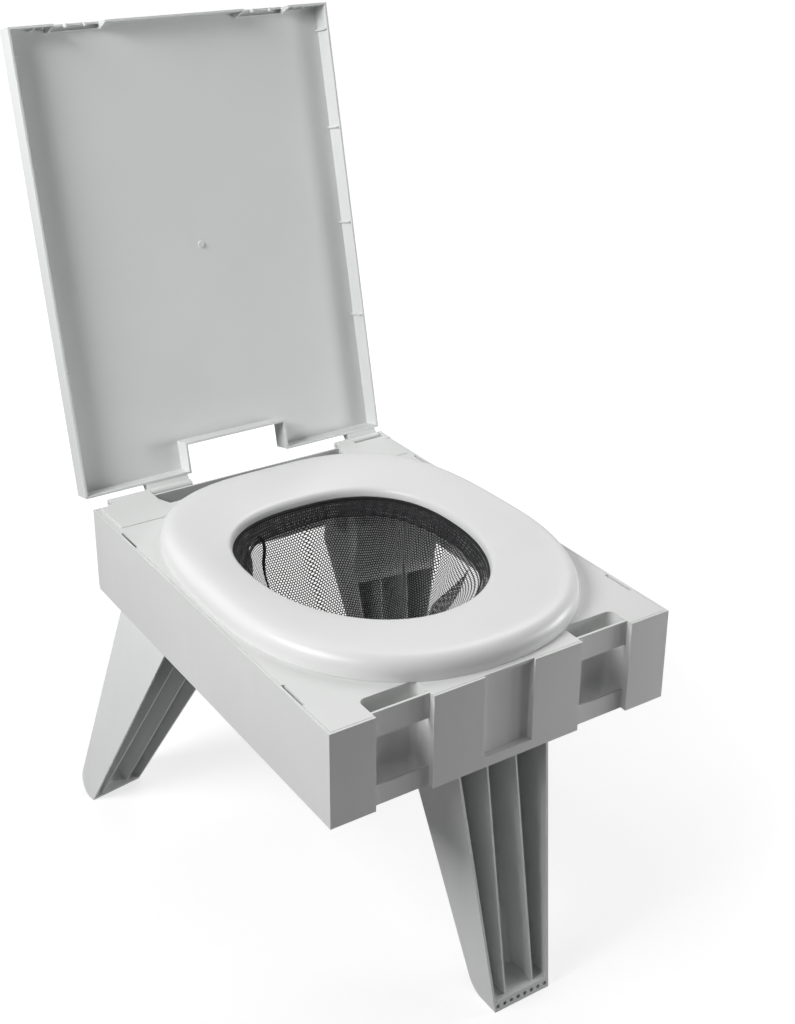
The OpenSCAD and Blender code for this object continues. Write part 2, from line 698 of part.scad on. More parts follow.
// Cut-outs in the lid's front wall, over the hand holds, with their lugs and returns
module lid_front_details() {
    corner_w = half_w - lid_wall - cutout_out;
    return_l = lid_d * 0.3;
    lug_w = cutout_w * 0.42;
    sill_z = lid_top - cutout_sill;
    lug_h = cutout_sill * 0.7;
    both_sides() {
        for (x = [hold_in - lid_wall, cutout_out])
            across(x, x + lid_wall) polygon([
                [lid_front, lid_gap], [lid_front + lid_wall, lid_gap], [lid_front + return_l, sill_z],
                [lid_front + return_l, lid_top - lid_wall], [lid_front, lid_top - lid_wall]]);
        // catch lug on the sill
        x0 = (hold_in + cutout_out - lug_w) / 2;
        block([x0, x0 + lug_w], [lid_front, lid_front + lid_wall], [sill_z - lug_h / 2, sill_z + over]);
        for (x = [x0, x0 + lug_w - lid_wall])
            block([x, x + lid_wall], [lid_front, lid_front + lid_wall * 1.6],
                [sill_z - lug_h, sill_z + over]);
        // tongue behind the sill
        block([hold_in, cutout_out], [lid_front + return_l - lid_wall / 2, lid_front + return_l],
            [lid_top - lid_wall - lug_h / 2, lid_top - lid_wall]);
        // short ribs in the corners
        for (s = corner_rib_shares)
            let (x = cutout_out + s * corner_w)
            block([x, x + lid_wall * 0.6], [lid_front + lid_wall, lid_front + return_l * 0.6],
                [lid_gap + lid_wall * 2, lid_top - lid_wall]);
    }
}

module lid_shell() {
    inner = half_w - lid_wall;
    notch_y = seat_y[1] + notch_gap + lid_wall;
    color(plastic_cool) stand() opened() union() {
        difference() {
            block([-half_w, half_w], [lid_front, lid_rear], [lid_gap, lid_top]);
            difference() {
                block([-inner, inner], [lid_front + lid_wall, lid_rear - lid_wall],
                    [lid_gap - over, lid_top - lid_wall]);
                // walls round the notch
                block([-notch_half - lid_wall, notch_half + lid_wall], [notch_y - lid_wall, lid_rear],
                    [lid_gap - over, lid_top]);
            }
            block([-notch_half, notch_half], [notch_y, lid_rear + over],
                [lid_gap - 2 * over, lid_top + over]);
            both_sides() block([hold_in, cutout_out], [lid_front - over, lid_front + lid_wall + over],
                [lid_gap - over, lid_top - cutout_sill]);
        }
        lid_front_details();
        // ribs on the side walls
        for (i = [0:lid_ribs - 1]) {
            y = lid_rear - lid_rib_first - i * lid_rib_pitch;
            both_sides() block([inner - lid_rib_out, inner], [y - lid_wall / 3, y + lid_wall / 3],
                [lid_gap + lid_wall / 2, lid_top - lid_wall]);
        }
        // moulding gate in the middle of the lid
        translate([0, (lid_front + lid_rear) / 2, lid_top - lid_wall * 1.8])
            cylinder(r = lid_wall * 1.4, h = lid_wall);
    }
}

// Side view of a leg, with its closed face drawn in by inset, its open face moved out by grow and
// its bottom raised by sole: a wedge with a round heel, cut to the root that turns on the pin.
module front_side(inset, grow, sole) {
    zc = -deck_h + heel_r;
    yc = closed_front(zc) - heel_r / cos(front_lean_closed);
    r = heel_r - inset;
    floor_z = -deck_h + sole;
    top_z = root_top - inset;
    top_y = closed_front(top_z) - inset / cos(front_lean_closed);
    sole_a = sole > inset ? asin(max(-1, (floor_z - zc) / r)) : -90;
    root_r = root_depth - (front_pivot_z - fold_z) - inset;
    root_floor = front_pivot_y + root_r / cos(front_lean) + (floor_z - front_pivot_z) * tan(front_lean);
    intersection() {
        polygon(concat(
            [[open_front(floor_z) - grow, floor_z]],
            arc(yc, zc, r, sole_a, -front_lean_closed, 10),
            [[top_y, top_z], [open_front(top_z) - grow, top_z]]));
        polygon(concat(
            [[open_front(floor_z) - grow, floor_z], [root_floor, floor_z]],
            arc(front_pivot_y, front_pivot_z, root_r, -front_lean, 90, 12),
            [[open_front(top_z) - grow, top_z]]));
    }
}

module rear_side(inset, grow, sole) {
    zc = -deck_h + heel_r;
    nc = closed_rear(zc) - heel_r / cos(rear_lean_closed);
    r = heel_r - inset;
    floor_z = -deck_h + sole;
    top_z = root_top - inset;
    top_n = closed_rear(top_z) - inset / cos(rear_lean_closed);
    sole_a = sole > inset ? asin(max(-1, (floor_z - zc) / r)) : -90;
    root_r = root_depth - (rear_pivot_z - fold_z) - inset + 2 * max(0, grow);
    root_floor = rear_pivot_n - root_r / cos(rear_lean_closed)
        + (rear_pivot_z - floor_z) * tan(rear_lean_closed);
    intersection() {
        polygon(concat(
            [[open_rear(floor_z) - grow, floor_z]],
            arc(nc, zc, r, sole_a, rear_lean_closed, 10),
            [[top_n, top_z], [open_rear(top_z) - grow, top_z]]));
        polygon(concat(
            [[closed_rear(floor_z), floor_z], [top_n, top_z]],
            arc(rear_pivot_n, rear_pivot_z, root_r, 90, half_turn + rear_lean_closed, 12),
            [[root_floor, floor_z]]));
    }
}

// Front view of a leg: a middle line that slants by shear, and half widths at foot and root
function leg_outline(c_root, shear, foot_half, root_half, inset) = let (
        c_foot = c_root - shear * (deck_h - tub_h),
        drop = heel_r / 4,
        slope = (root_half - foot_half) / (deck_h - tub_h),
        c_low = c_foot - shear * drop,
        h_low = foot_half - slope * drop)
    [[c_low - h_low + inset, -deck_h - drop], [c_low + h_low - inset, -deck_h - drop],
        [c_root + root_half - inset, -tub_h], [c_root + root_half - inset, drop],
        [c_root - root_half + inset, drop], [c_root - root_half + inset, -tub_h]];

// A rib follows the middle line of its leg
function rib_outline(c_root, shear, off) = let (
        drop = heel_r / 4,
        c_low = c_root - shear * (deck_h - tub_h + drop) + off,
        c = c_root + off,
        t = leg_rib_t / 2)
    [[c_low - t, -deck_h - drop], [c_low + t, -deck_h - drop], [c + t, -tub_h],
        [c + t, drop], [c - t, drop], [c - t, -tub_h]];

// Extrudes a front view, drawn in w and z, along n over the depth of the leg
module along_depth(n0, n1) {
    translate([0, n1, 0]) rotate([90, 0, 0]) linear_extrude(n1 - n0) children();
}

// A leg: the children are the side views of its outside, its hollow and its ribs
module leg_shell(c_root, shear, foot_half, root_half, pivot, w0, w1, n0, n1) {
    difference() {
        union() {
            difference() {
                intersection() {
                    across(w0, w1) children(0);
                    along_depth(n0, n1) polygon(leg_outline(c_root, shear, foot_half, root_half, 0));
                }
                intersection() {
                    across(w0, w1) children(1);
                    along_depth(n0, n1) polygon(leg_outline(c_root, shear, foot_half, root_half, leg_wall));
                }
            }
            for (s = [-1, 1]) intersection() {
                across(w0, w1) children(2);
                along_depth(n0, n1) polygon(rib_outline(c_root, shear, s * leg_rib_off));
            }
            // bosses that turn on the pin
            for (s = [-1, 1]) {
                x = c_root + s * (root_half - leg_wall / 2) - (s > 0 ? boss_l : 0);
                translate([x, pivot[0], pivot[1]]) rotate([0, 90, 0]) cylinder(r = boss_r, h = boss_l);
            }
        }
        translate([w0, pivot[0], pivot[1]]) rotate([0, 90, 0]) cylinder(r = leg_pin_r + run_fit, h = w1 - w0);
    }
}

front_span = front_root_half + heel_r;
hole_pitch = 2 * front_foot_half * 0.125;
module front_leg() {
    color(plastic) stand() difference() {
        leg_shell(0, 0, front_foot_half, front_root_half, front_pivot,
            -front_span, front_span, -case_l, case_l) {
            front_side(0, 0, 0);
            front_side(leg_wall, over, front_sole);
            front_side(leg_wall / 2, -leg_rib_back / cos(front_lean), front_sole / 2);
        }
        // row of holes along the front of the foot
        for (i = [0:foot_holes - 1])
            translate([(i - (foot_holes - 1) / 2) * hole_pitch, open_front(-deck_h + front_sole / 2) - over,
                -deck_h + front_sole * 0.45])
                rotate([-90, 0, 0]) cylinder(r = hole_pitch * 0.28, h = front_foot_depth / 4);
    }
}

// Puts a piece of the left rear leg, drawn in w and n, in its place
module rear_place() {
    rotate([0, 0, rear_turn]) children();
}

rear_span_low = rear_foot_w - rear_foot_half - heel_r;
rear_span_high = rear_rim_w + rear_root_half + heel_r;
module rear_leg_shape() {
    rear_place() leg_shell(rear_rim_w, tan(rear_slant), rear_foot_half, rear_root_half, rear_pivot,
        rear_span_low, rear_span_high, 0, case_l) {
        rear_side(0, 0, 0);
        rear_side(leg_wall, over, rear_sole);
        rear_side(leg_wall / 2, -leg_rib_back / cos(rear_lean), rear_sole / 2);
    }
}

module rear_leg_left() {
    color(plastic) stand() rear_leg_shape();
}

module rear_leg_right() {
    color(plastic) stand() mirror([1, 0, 0]) rear_leg_shape();
}

// Bracket over a leg's root: a top plate with an ear at each side, drawn about its pivot line
front_pivot = [front_pivot_y, front_pivot_z];
rear_pivot = [rear_pivot_n, rear_pivot_z];
module bracket(c, half, pivot, plate_n, shares) {
    reach = half + ear_gap + ear_t;
    difference() {
        union() {
            block([c - reach, c + reach], plate_n, [-deck_t - bracket_t, -deck_t]);
            for (x = [c - reach, c + reach - ear_t]) {
                block([x, x + ear_t], [pivot[0] - ear_half, pivot[0] + ear_half],
                    [pivot[1], -deck_t - bracket_t / 2]);
                translate([x, pivot[0], pivot[1]]) rotate([0, 90, 0]) cylinder(r = ear_half, h = ear_t);
            }
        }
        translate([c - reach - over, pivot[0], pivot[1]]) rotate([0, 90, 0])
            cylinder(r = leg_pin_r + run_fit, h = 2 * (reach + over));
        bracket_holes(c, half, plate_n, shares) bracket_hole();
    }
}

// Places of the screws in a bracket's top plate, all under the seat:
// [share of its half width from the middle, share of its length from its front edge]
front_screw_shares = [[-0.76, 0.14], [0.76, 0.14], [-0.76, 0.86], [0.76, 0.86]];
rear_screw_shares = [[-0.38, 0.09], [0.74, 0.19], [0.74, 0.65]];
module bracket_holes(c, half, plate_n, shares) {
    for (s = shares)
        translate([c + s[0] * half, plate_n[0] + s[1] * (plate_n[1] - plate_n[0]), 0]) children();
}

// Countersunk hole for one screw
module bracket_hole() {
    z = -deck_t - bracket_t;
    translate([0, 0, z - over]) cylinder(r = screw_r + run_fit, h = bracket_t + 2 * over);
    translate([0, 0, z - over]) cylinder(r = screw_head_r + run_fit * 2, h = screw_head_h + over);
}

front_plate_n = [front_pivot_y - ear_half * 2.5, hole_y[0] - bracket_gap];
rear_plate_n = [rear_pivot_n - ear_half * 1.4, rear_pivot_n + ear_half * 2.75];

module front_leg_bracket() {
    color(plastic_cool) stand()
        bracket(0, front_root_half, front_pivot, front_plate_n, front_screw_shares);
}

module rear_bracket_shape() {
    rear_place() bracket(rear_rim_w, rear_root_half, rear_pivot, rear_plate_n, rear_screw_shares);
}

module rear_leg_bracket_left() {
    color(plastic_cool) stand() rear_bracket_shape();
}

module rear_leg_bracket_right() {
    color(plastic_cool) stand() mirror([1, 0, 0]) rear_bracket_shape();
}

// Every place that has a bracket screw
module screw_places() {
    bracket_holes(0, front_root_half, front_plate_n, front_screw_shares) children();
    both_sides() rear_place()
        bracket_holes(rear_rim_w, rear_root_half, rear_plate_n, rear_screw_shares) children();
}

module bracket_screws() {
    z = -deck_t - bracket_t;
    color(metal) stand() screw_places() {
        translate([0, 0, z]) cylinder(r = screw_r, h = screw_l);
        translate([0, 0, z]) cylinder(r = screw_head_r, h = screw_head_h);
    }
}

// Leg pins run through both ears, with a push-on clip beyond each ear
pin_end = leg_pin_r * 0.75;
clip_h = leg_pin_r * 0.3;
module leg_pin(c, half, pivot) {
    reach = half + ear_gap + ear_t + pin_end;
    translate([c - reach, pivot[0], pivot[1]]) rotate([0, 90, 0]) cylinder(r = leg_pin_r, h = 2 * reach);
}

module leg_pin_clips(c, half, pivot) {
    reach = half + ear_gap + ear_t + run_fit;
    for (x = [c - reach - clip_h, c + reach]) translate([x, pivot[0], pivot[1]]) rotate([0, 90, 0])
        difference() {
            cylinder(r = leg_pin_r * 1.7, h = clip_h);
            translate([0, 0, -over]) cylinder(r = leg_pin_r, h = clip_h + 2 * over);
        }
}

module front_leg_pin() {
    color(metal) stand() leg_pin(0, front_root_half, front_pivot);
}

module rear_leg_pin_left() {
    color(metal) stand() rear_place() leg_pin(rear_rim_w, rear_root_half, rear_pivot);
}

module rear_leg_pin_right() {
    color(metal) stand() mirror([1, 0, 0]) rear_place() leg_pin(rear_rim_w, rear_root_half, rear_pivot);
}

module pin_clips() {
    color(metal) stand() {
        leg_pin_clips(0, front_root_half, front_pivot);
        both_sides() rear_place() leg_pin_clips(rear_rim_w, rear_root_half, rear_pivot);
    }
}

// Places of the joints in the part's own frame
rear_pivot_x = rear_rim_w * cos(rear_turn) - rear_pivot_n * sin(rear_turn);
rear_pivot_y = rear_rim_w * sin(rear_turn) + rear_pivot_n * cos(rear_turn);
echo(centre_y = centre_y, hinge = [0, hinge_y - centre_y, hinge_z + deck_h]);
echo(front_pivot = [0, front_pivot_y - centre_y, front_pivot_z + deck_h], front_fold = front_fold);
echo(rear_pivot = [rear_pivot_x, rear_pivot_y - centre_y, rear_pivot_z + deck_h],
    rear_axis = [cos(rear_turn), sin(rear_turn), 0], rear_fold = rear_fold);

base_tub();
deck_plate();
seat_ring();
net_clips();
net_hoop();
net_bag();
drawstring_tape();
hinge_base_left();
hinge_base_right();
hinge_pin_left();
hinge_pin_right();
lid_shell();
lid_hinge_left();
lid_hinge_right();
front_leg_bracket();
rear_leg_bracket_left();
rear_leg_bracket_right();
front_leg_pin();
rear_leg_pin_left();
rear_leg_pin_right();
front_leg();
rear_leg_left();
rear_leg_right();
bracket_screws();
pin_clips();
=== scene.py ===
"""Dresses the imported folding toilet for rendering.

The mouldings get soft edges and matt plastic, the seat is lofted smoothly, and the bag becomes a
see-through knitted net with its hem, seams and drawstring tape.
"""

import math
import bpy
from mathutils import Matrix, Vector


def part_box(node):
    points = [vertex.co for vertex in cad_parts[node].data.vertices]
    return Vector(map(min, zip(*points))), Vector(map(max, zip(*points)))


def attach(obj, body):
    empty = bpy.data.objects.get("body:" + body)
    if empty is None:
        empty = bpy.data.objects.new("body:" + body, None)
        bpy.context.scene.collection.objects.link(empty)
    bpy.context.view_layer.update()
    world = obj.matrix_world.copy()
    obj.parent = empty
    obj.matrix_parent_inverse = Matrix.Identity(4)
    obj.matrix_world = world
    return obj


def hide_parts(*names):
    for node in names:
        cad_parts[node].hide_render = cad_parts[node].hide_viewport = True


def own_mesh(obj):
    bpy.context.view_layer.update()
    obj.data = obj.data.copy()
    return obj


bl_info = {
    "name": "Folding Toilet Dressing",
    "version": (1, 0, 0),
    "blender": (4, 5, 0),
    "location": "View3D > Sidebar > Toilet",
    "description": "Finishes for a folding toilet's mouldings, seat and hanging net",
    "category": "Object",
}

import bmesh
import bpy
from mathutils import Matrix, Vector, noise

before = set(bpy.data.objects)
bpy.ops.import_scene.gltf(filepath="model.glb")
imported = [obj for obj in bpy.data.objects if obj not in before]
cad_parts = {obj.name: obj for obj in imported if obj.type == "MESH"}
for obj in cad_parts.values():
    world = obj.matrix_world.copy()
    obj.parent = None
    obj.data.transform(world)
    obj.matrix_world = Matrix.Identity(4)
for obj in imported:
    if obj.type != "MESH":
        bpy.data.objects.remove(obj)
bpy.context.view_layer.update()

MM = 0.001


# Places and sizes read from the frame
SEAT_LOW, SEAT_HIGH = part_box("seat_ring")
HOOP_LOW, HOOP_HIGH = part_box("net_hoop")
BAG_LOW, BAG_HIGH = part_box("net_bag")
TUB_LOW, TUB_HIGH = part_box("base_tub")
TAPE_LOW, TAPE_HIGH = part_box("drawstring_tape")
CASE_Y = (TUB_LOW.y + TUB_HIGH.y) / 2
DECK_Z = TUB_HIGH.z
HOOP_R = (HOOP_HIGH.z - HOOP_LOW.z) / 2


# Settings that a user would change


class SeatSettings(bpy.types.PropertyGroup):
    """Sizes of the seat's moulding."""

    thickness: bpy.props.FloatProperty(
        name="Shell", description="Thickness of the seat's shell", default=3 * MM, unit="LENGTH")
    throat_drop: bpy.props.FloatProperty(
        name="Throat", description="Height of the throat's bottom edge above the deck",
        default=0.95 * MM, unit="LENGTH")
    lip_height: bpy.props.FloatProperty(
        name="Lip height", description="Height of the hole's rounded lip above the deck",
        default=12.4 * MM, unit="LENGTH")
    lip_width: bpy.props.FloatProperty(
        name="Lip width", description="Width of the hole's rounded lip", default=9 * MM, unit="LENGTH")
    brow: bpy.props.FloatProperty(
        name="Brow", description="Width of the rounding at the seat's outer edge",
        default=19 * MM, unit="LENGTH")
    steps: bpy.props.IntProperty(
        name="Steps", description="Sections round the seat", default=112, min=24)


class BagSettings(bpy.types.PropertyGroup):
    """Sizes of the hanging net."""

    pitch: bpy.props.FloatProperty(
        name="Mesh pitch", description="Distance from one mesh opening to the next",
        default=3.05 * MM, unit="LENGTH")
    yarn_share: bpy.props.FloatProperty(
        name="Yarn", description="Width of the yarn as a share of the mesh pitch",
        default=0.36, min=0.1, max=0.6)
    doubled_share: bpy.props.FloatProperty(
        name="Doubled yarn", description="Width of the yarn where two layers of net lie together",
        default=0.56, min=0.1, max=0.8)
    fold_depth: bpy.props.FloatProperty(
        name="Folds", description="Depth of the net's soft folds", default=5 * MM, unit="LENGTH")
    pleat_depth: bpy.props.FloatProperty(
        name="Pleats", description="Depth of the pleats that run down from the hem",
        default=1.7 * MM, unit="LENGTH")
    sag_depth: bpy.props.FloatProperty(
        name="Sag", description="How far the net sags inwards beside its fold", default=26 * MM,
        unit="LENGTH")
    hem_height: bpy.props.FloatProperty(
        name="Hem", description="Height of the bag's doubled hem", default=13 * MM, unit="LENGTH")
    panels: bpy.props.IntProperty(
        name="Panels", description="Net panels sewn into the bag's side", default=3, min=3)
    first_seam: bpy.props.FloatProperty(
        name="First seam", description="Where round the bag the first seam starts",
        default=math.radians(31), unit="ROTATION")
    seam_drift: bpy.props.FloatProperty(
        name="Seam drift", description="How far the seams turn on their way down",
        default=math.radians(-19), unit="ROTATION")
    seam_width: bpy.props.FloatProperty(
        name="Seam", description="Width of a seam between two panels", default=2.6 * MM, unit="LENGTH")
    tape_width: bpy.props.FloatProperty(
        name="Tape", description="Width of the drawstring tape", default=7.5 * MM, unit="LENGTH")
    cut_width: bpy.props.FloatProperty(
        name="Cut width", description="Width of the cloth that the bag is cut from", default=0.86,
        unit="LENGTH")
    cut_length: bpy.props.FloatProperty(
        name="Cut length", description="Length of the cloth that the bag is cut from", default=0.25,
        unit="LENGTH")
    cut_area: bpy.props.FloatProperty(
        name="Cut area", description="Flat area of the bag's panels, from its profile and the hoop",
        default=0.106, unit="AREA")


class FinishSettings(bpy.types.PropertyGroup):
    """Colours of the plastic, the net and the metal."""

    case_colour: bpy.props.FloatVectorProperty(
        name="Case", description="Plastic of the case, deck and legs", subtype="COLOR",
        default=(0.68, 0.688, 0.68), min=0, max=1)
    seat_colour: bpy.props.FloatVectorProperty(
        name="Seat", description="Plastic of the seat", subtype="COLOR",
        default=(0.735, 0.74, 0.735), min=0, max=1)
    lid_colour: bpy.props.FloatVectorProperty(
        name="Lid", description="Plastic of the lid", subtype="COLOR",
        default=(0.685, 0.698, 0.693), min=0, max=1)
    leg_colour: bpy.props.FloatVectorProperty(
        name="Legs", description="Plastic of the legs", subtype="COLOR",
        default=(0.73, 0.742, 0.735), min=0, max=1)
    net_colour: bpy.props.FloatVectorProperty(
        name="Net", description="Yarn of the net and tapes", subtype="COLOR",
        default=(0.012, 0.012, 0.013), min=0, max=1)
    steel_colour: bpy.props.FloatVectorProperty(
        name="Steel", description="Zinc plated pins and screws", subtype="COLOR",
        default=(0.62, 0.63, 0.66), min=0, max=1)


class StageSettings(bpy.types.PropertyGroup):
    """The floor, the lamps and the camera."""

    floor_size: bpy.props.FloatProperty(
        name="Floor", description="Side of the floor", default=24, unit="LENGTH")
    key_power: bpy.props.FloatProperty(
        name="Key light", description="Power of the near lamp at the left", default=19, unit="POWER")
    left_power: bpy.props.FloatProperty(
        name="Left light", description="Power of the far lamp at the left", default=16.5, unit="POWER")
    back_power: bpy.props.FloatProperty(
        name="Back light", description="Power of the lamp behind at the right", default=29, unit="POWER")
    side_power: bpy.props.FloatProperty(
        name="Side light", description="Power of the low lamp at the right", default=7.5, unit="POWER")
    front_power: bpy.props.FloatProperty(
        name="Front light", description="Power of the small lamp at the front right", default=4,
        unit="POWER")
    world_strength: bpy.props.FloatProperty(
        name="Surroundings", description="Strength of the even light all round", default=0.02)
    floor_lift: bpy.props.FloatProperty(
        name="Floor lift", description="How much whiter the camera sees the floor near the toilet",
        default=0.68, min=0, max=1)
    lift_radius: bpy.props.FloatProperty(
        name="Lift radius", description="Distance at which the camera sees the floor as white",
        default=1.15, unit="LENGTH")


SETTINGS = (
    ("toilet_seat", SeatSettings),
    ("toilet_bag", BagSettings),
    ("toilet_finish", FinishSettings),
    ("toilet_stage", StageSettings),
)


# Shader building


class Wire:
    """A shader value that Python arithmetic extends with Math nodes."""

    def __init__(self, tree, socket):
        self.tree = tree
        self.socket = socket

    def maths(self, operation, *others):
        """This value put through one Math node with the others."""
        node = self.tree.nodes.new("ShaderNodeMath")
        node.operation = operation
        plug(self.tree, node.inputs[0], self)
        for slot, other in zip(list(node.inputs)[1:], others):
            plug(self.tree, slot, other)
        return Wire(self.tree, node.outputs[0])

    def turned(self, operation, other):
        """The same with this value second."""
        node = self.tree.nodes.new("ShaderNodeMath")
        node.operation = operation
        plug(self.tree, node.inputs[0], other)
        plug(self.tree, node.inputs[1], self)
        return Wire(self.tree, node.outputs[0])

    def __add__(self, other):
        return self.maths("ADD", other)

    __radd__ = __add__

    def __sub__(self, other):
        return self.maths("SUBTRACT", other)

    def __rsub__(self, other):
        return self.turned("SUBTRACT", other)

    def __mul__(self, other):
        return self.maths("MULTIPLY", other)

    __rmul__ = __mul__

    def __truediv__(self, other):
        return self.maths("DIVIDE", other)

    def __abs__(self):
        return self.maths("ABSOLUTE")

    def floor(self):
        return self.maths("FLOOR")

    def fract(self):
        return self.maths("FRACT")

    def sine(self):
        return self.maths("SINE")

    def larger(self, other):
        return self.maths("MAXIMUM", other)

    def smaller(self, other):
        return self.maths("MINIMUM", other)

    def step(self, low, high):
        """0 below low, 1 above high and smooth between."""
        node = self.tree.nodes.new("ShaderNodeMapRange")
        node.interpolation_type = "SMOOTHSTEP"
        plug(self.tree, node.inputs["Value"], self)
        node.inputs["From Min"].default_value = low
        node.inputs["From Max"].default_value = high
        return Wire(self.tree, node.outputs["Result"])


def plug(tree, socket, value):
    """Links a wire to a socket, or sets the socket to a plain value."""
    if isinstance(value, Wire):
        tree.links.new(value.socket, socket)
    elif hasattr(value, "__len__") and len(value) == 3 and socket.type == "RGBA":
        socket.default_value = (*value, 1)
    else:
        socket.default_value = value


class Finish:
    """A material under construction, with a Principled shader."""

    def __init__(self, name):
        self.material = bpy.data.materials.new(name)
        self.material.use_nodes = True
        self.tree = self.material.node_tree
        self.shader = self.tree.nodes["Principled BSDF"]

    def node(self, kind, settings=None, output=0, **inputs):
        """Adds a node of a kind, sets it up and gives back one of its outputs."""
        node = self.tree.nodes.new(kind)
        for name, value in (settings or {}).items():
            setattr(node, name, value)
        for name, value in inputs.items():
            plug(self.tree, node.inputs[name.replace("_", " ")], value)
        return Wire(self.tree, node.outputs[output])

    def place(self):
        """Object coordinates."""
        return self.node("ShaderNodeTexCoord", output="Object")

    def stretched(self, scale, turn=(0, 0, 0)):
        """Object coordinates scaled unevenly, for streaks."""
        return self.node("ShaderNodeMapping", Vector=self.place(), Scale=scale, Rotation=turn)

    def cloud(self, scale, detail=2, vector=None, roughness=0.5):
        """Noise from 0 to 1."""
        return self.node("ShaderNodeTexNoise", output="Fac", Vector=vector or self.place(),
                         Scale=scale, Detail=detail, Roughness=roughness)

    def mixed(self, factor, first, second):
        """One colour turning into another."""
        node = self.tree.nodes.new("ShaderNodeMix")
        node.data_type = "RGBA"
        plug(self.tree, node.inputs["Factor"], factor)
        plug(self.tree, node.inputs[6], first)
        plug(self.tree, node.inputs[7], second)
        return Wire(self.tree, node.outputs[2])

    def bumped(self, height, strength, distance, normal=None):
        """A normal from a height."""
        inputs = {"Height": height, "Strength": strength, "Distance": distance}
        if normal is not None:
            inputs["Normal"] = normal
        return self.node("ShaderNodeBump", **inputs)

    def set(self, name, value):
        """Sets or links a socket of the Principled shader."""
        plug(self.tree, self.shader.inputs[name], value)


def tint(colour, factor):
    """A colour made lighter or darker."""
    return tuple(min(1.0, c * factor) for c in colour)


# Materials


def moulded_plastic(name, colour, roughness, grain=1.0, streaks=0.0, marks=0.0):
    """Matt injection-moulded plastic with spark texture, flow streaks and faint scuffs."""
    finish = Finish(name)
    cloudy = finish.cloud(5.5, 3)
    fine = finish.cloud(1500, 2)
    coarse = finish.cloud(420, 2)
    ripple = finish.cloud(38, 2)
    shade = cloudy.step(0.3, 0.7)
    base = finish.mixed(shade, tint(colour, 0.975), tint(colour, 1.02))
    if streaks:
        flow = finish.cloud(1, 4, finish.stretched((95, 95, 4.5)), 0.6)
        base = finish.mixed(flow.step(0.42, 0.72) * streaks, base, tint(colour, 0.9))
    if marks:
        scuff = finish.cloud(1, 3, finish.stretched((30, 150, 210), (0.4, 0.2, 0.9)), 0.7)
        base = finish.mixed(scuff.step(0.66, 0.8) * marks, base, tint(colour, 1.07))
    finish.set("Base Color", base)
    finish.set("Roughness", (cloudy - 0.5) * 0.08 + (coarse - 0.5) * 0.10 + roughness)
    height = fine * 0.55 + coarse * 0.35 + ripple * 0.9
    finish.set("Normal", finish.bumped(height, 0.16 * grain, 0.16 * MM))
    finish.set("IOR", 1.49)
    finish.set("Specular IOR Level", 0.42)
    return finish.material


def plated_steel(name, colour):
    """Zinc plated steel, drawn along its length."""
    finish = Finish(name)
    drawn = finish.cloud(1, 3, finish.stretched((30, 900, 900)), 0.6)
    spots = finish.cloud(220, 3)
    finish.set("Base Color", finish.mixed(spots.step(0.35, 0.7), tint(colour, 0.86), colour))
    finish.set("Metallic", 1.0)
    finish.set("Roughness", drawn * 0.18 + 0.26)
    finish.set("Normal", finish.bumped(drawn, 0.12, 0.05 * MM))
    return finish.material


def knitted_net(name, colour, pitch, yarn_share):
    """Open net: rounded six-sided holes between knitted yarns, on the piece's own map in metres."""
    finish = Finish(name)
    coords = finish.node("ShaderNodeUVMap", {"uv_map": "net"}, "UV")
    split = finish.tree.nodes.new("ShaderNodeSeparateXYZ")
    plug(finish.tree, split.inputs[0], coords)
    wobble = finish.cloud(160, 2)
    across = Wire(finish.tree, split.outputs[0]) / pitch + (wobble - 0.5) * 0.22
    along = Wire(finish.tree, split.outputs[1]) / pitch
    row = math.sqrt(3)

    def hole(shift):
        """Distance from the middle of the nearest opening in one of two lattices."""
        x = abs((across + shift).fract() - 0.5)
        y = abs((along / row + shift).fract() - 0.5) * row
        return x.larger(x * 0.5 + y * (row / 2))

    nearest = hole(0.0).smaller(hole(0.5))
    edge = 0.5 - yarn_share / 2
    yarn = nearest.step(edge - 0.05, edge + 0.05)
    crown = nearest.step(edge - 0.02, 0.5)
    knit = finish.cloud(2400, 2)
    finish.set("Base Color", finish.mixed(knit.step(0.35, 0.8), colour, tint(colour, 2.4)))
    finish.set("Roughness", knit * 0.2 + 0.55)
    finish.set("Specular IOR Level", 0.16)
    finish.set("Sheen Weight", 0.08)
    finish.set("Alpha", yarn)
    finish.set("Normal", finish.bumped(crown + knit * 0.4, 0.6, 0.4 * MM))
    return finish.material


def braided_tape(name, colour, pitch):
    """Flat braid with a painted glint on the crests of its strands, on the piece's own map in metres."""
    finish = Finish(name)
    coords = finish.node("ShaderNodeUVMap", {"uv_map": "net"}, "UV")
    split = finish.tree.nodes.new("ShaderNodeSeparateXYZ")
    plug(finish.tree, split.inputs[0], coords)
    across = Wire(finish.tree, split.outputs[0]) / pitch
    along = Wire(finish.tree, split.outputs[1]) / pitch
    turn = 2 * math.pi
    first = ((across + along) * turn).sine()
    second = ((across - along) * turn).sine()
    braid = first.larger(second)
    # Painted glint: the braid's crests are coloured three times lighter to stand in for light catching
    # them.
    painted_glint = braid.step(0.75, 1.0)
    fuzz = finish.cloud(2600, 2)
    base = finish.mixed(painted_glint * 0.7, colour, tint(colour, 3.0))
    finish.set("Base Color", finish.mixed(fuzz.step(0.55, 0.8) * 0.4, base, tint(colour, 2.5)))
    finish.set("Roughness", fuzz * 0.2 + 0.65)
    finish.set("Specular IOR Level", 0.14)
    finish.set("Sheen Weight", 0.08)
    finish.set("Normal", finish.bumped(braid + fuzz * 0.5, 0.7, 0.4 * MM))
    return finish.material


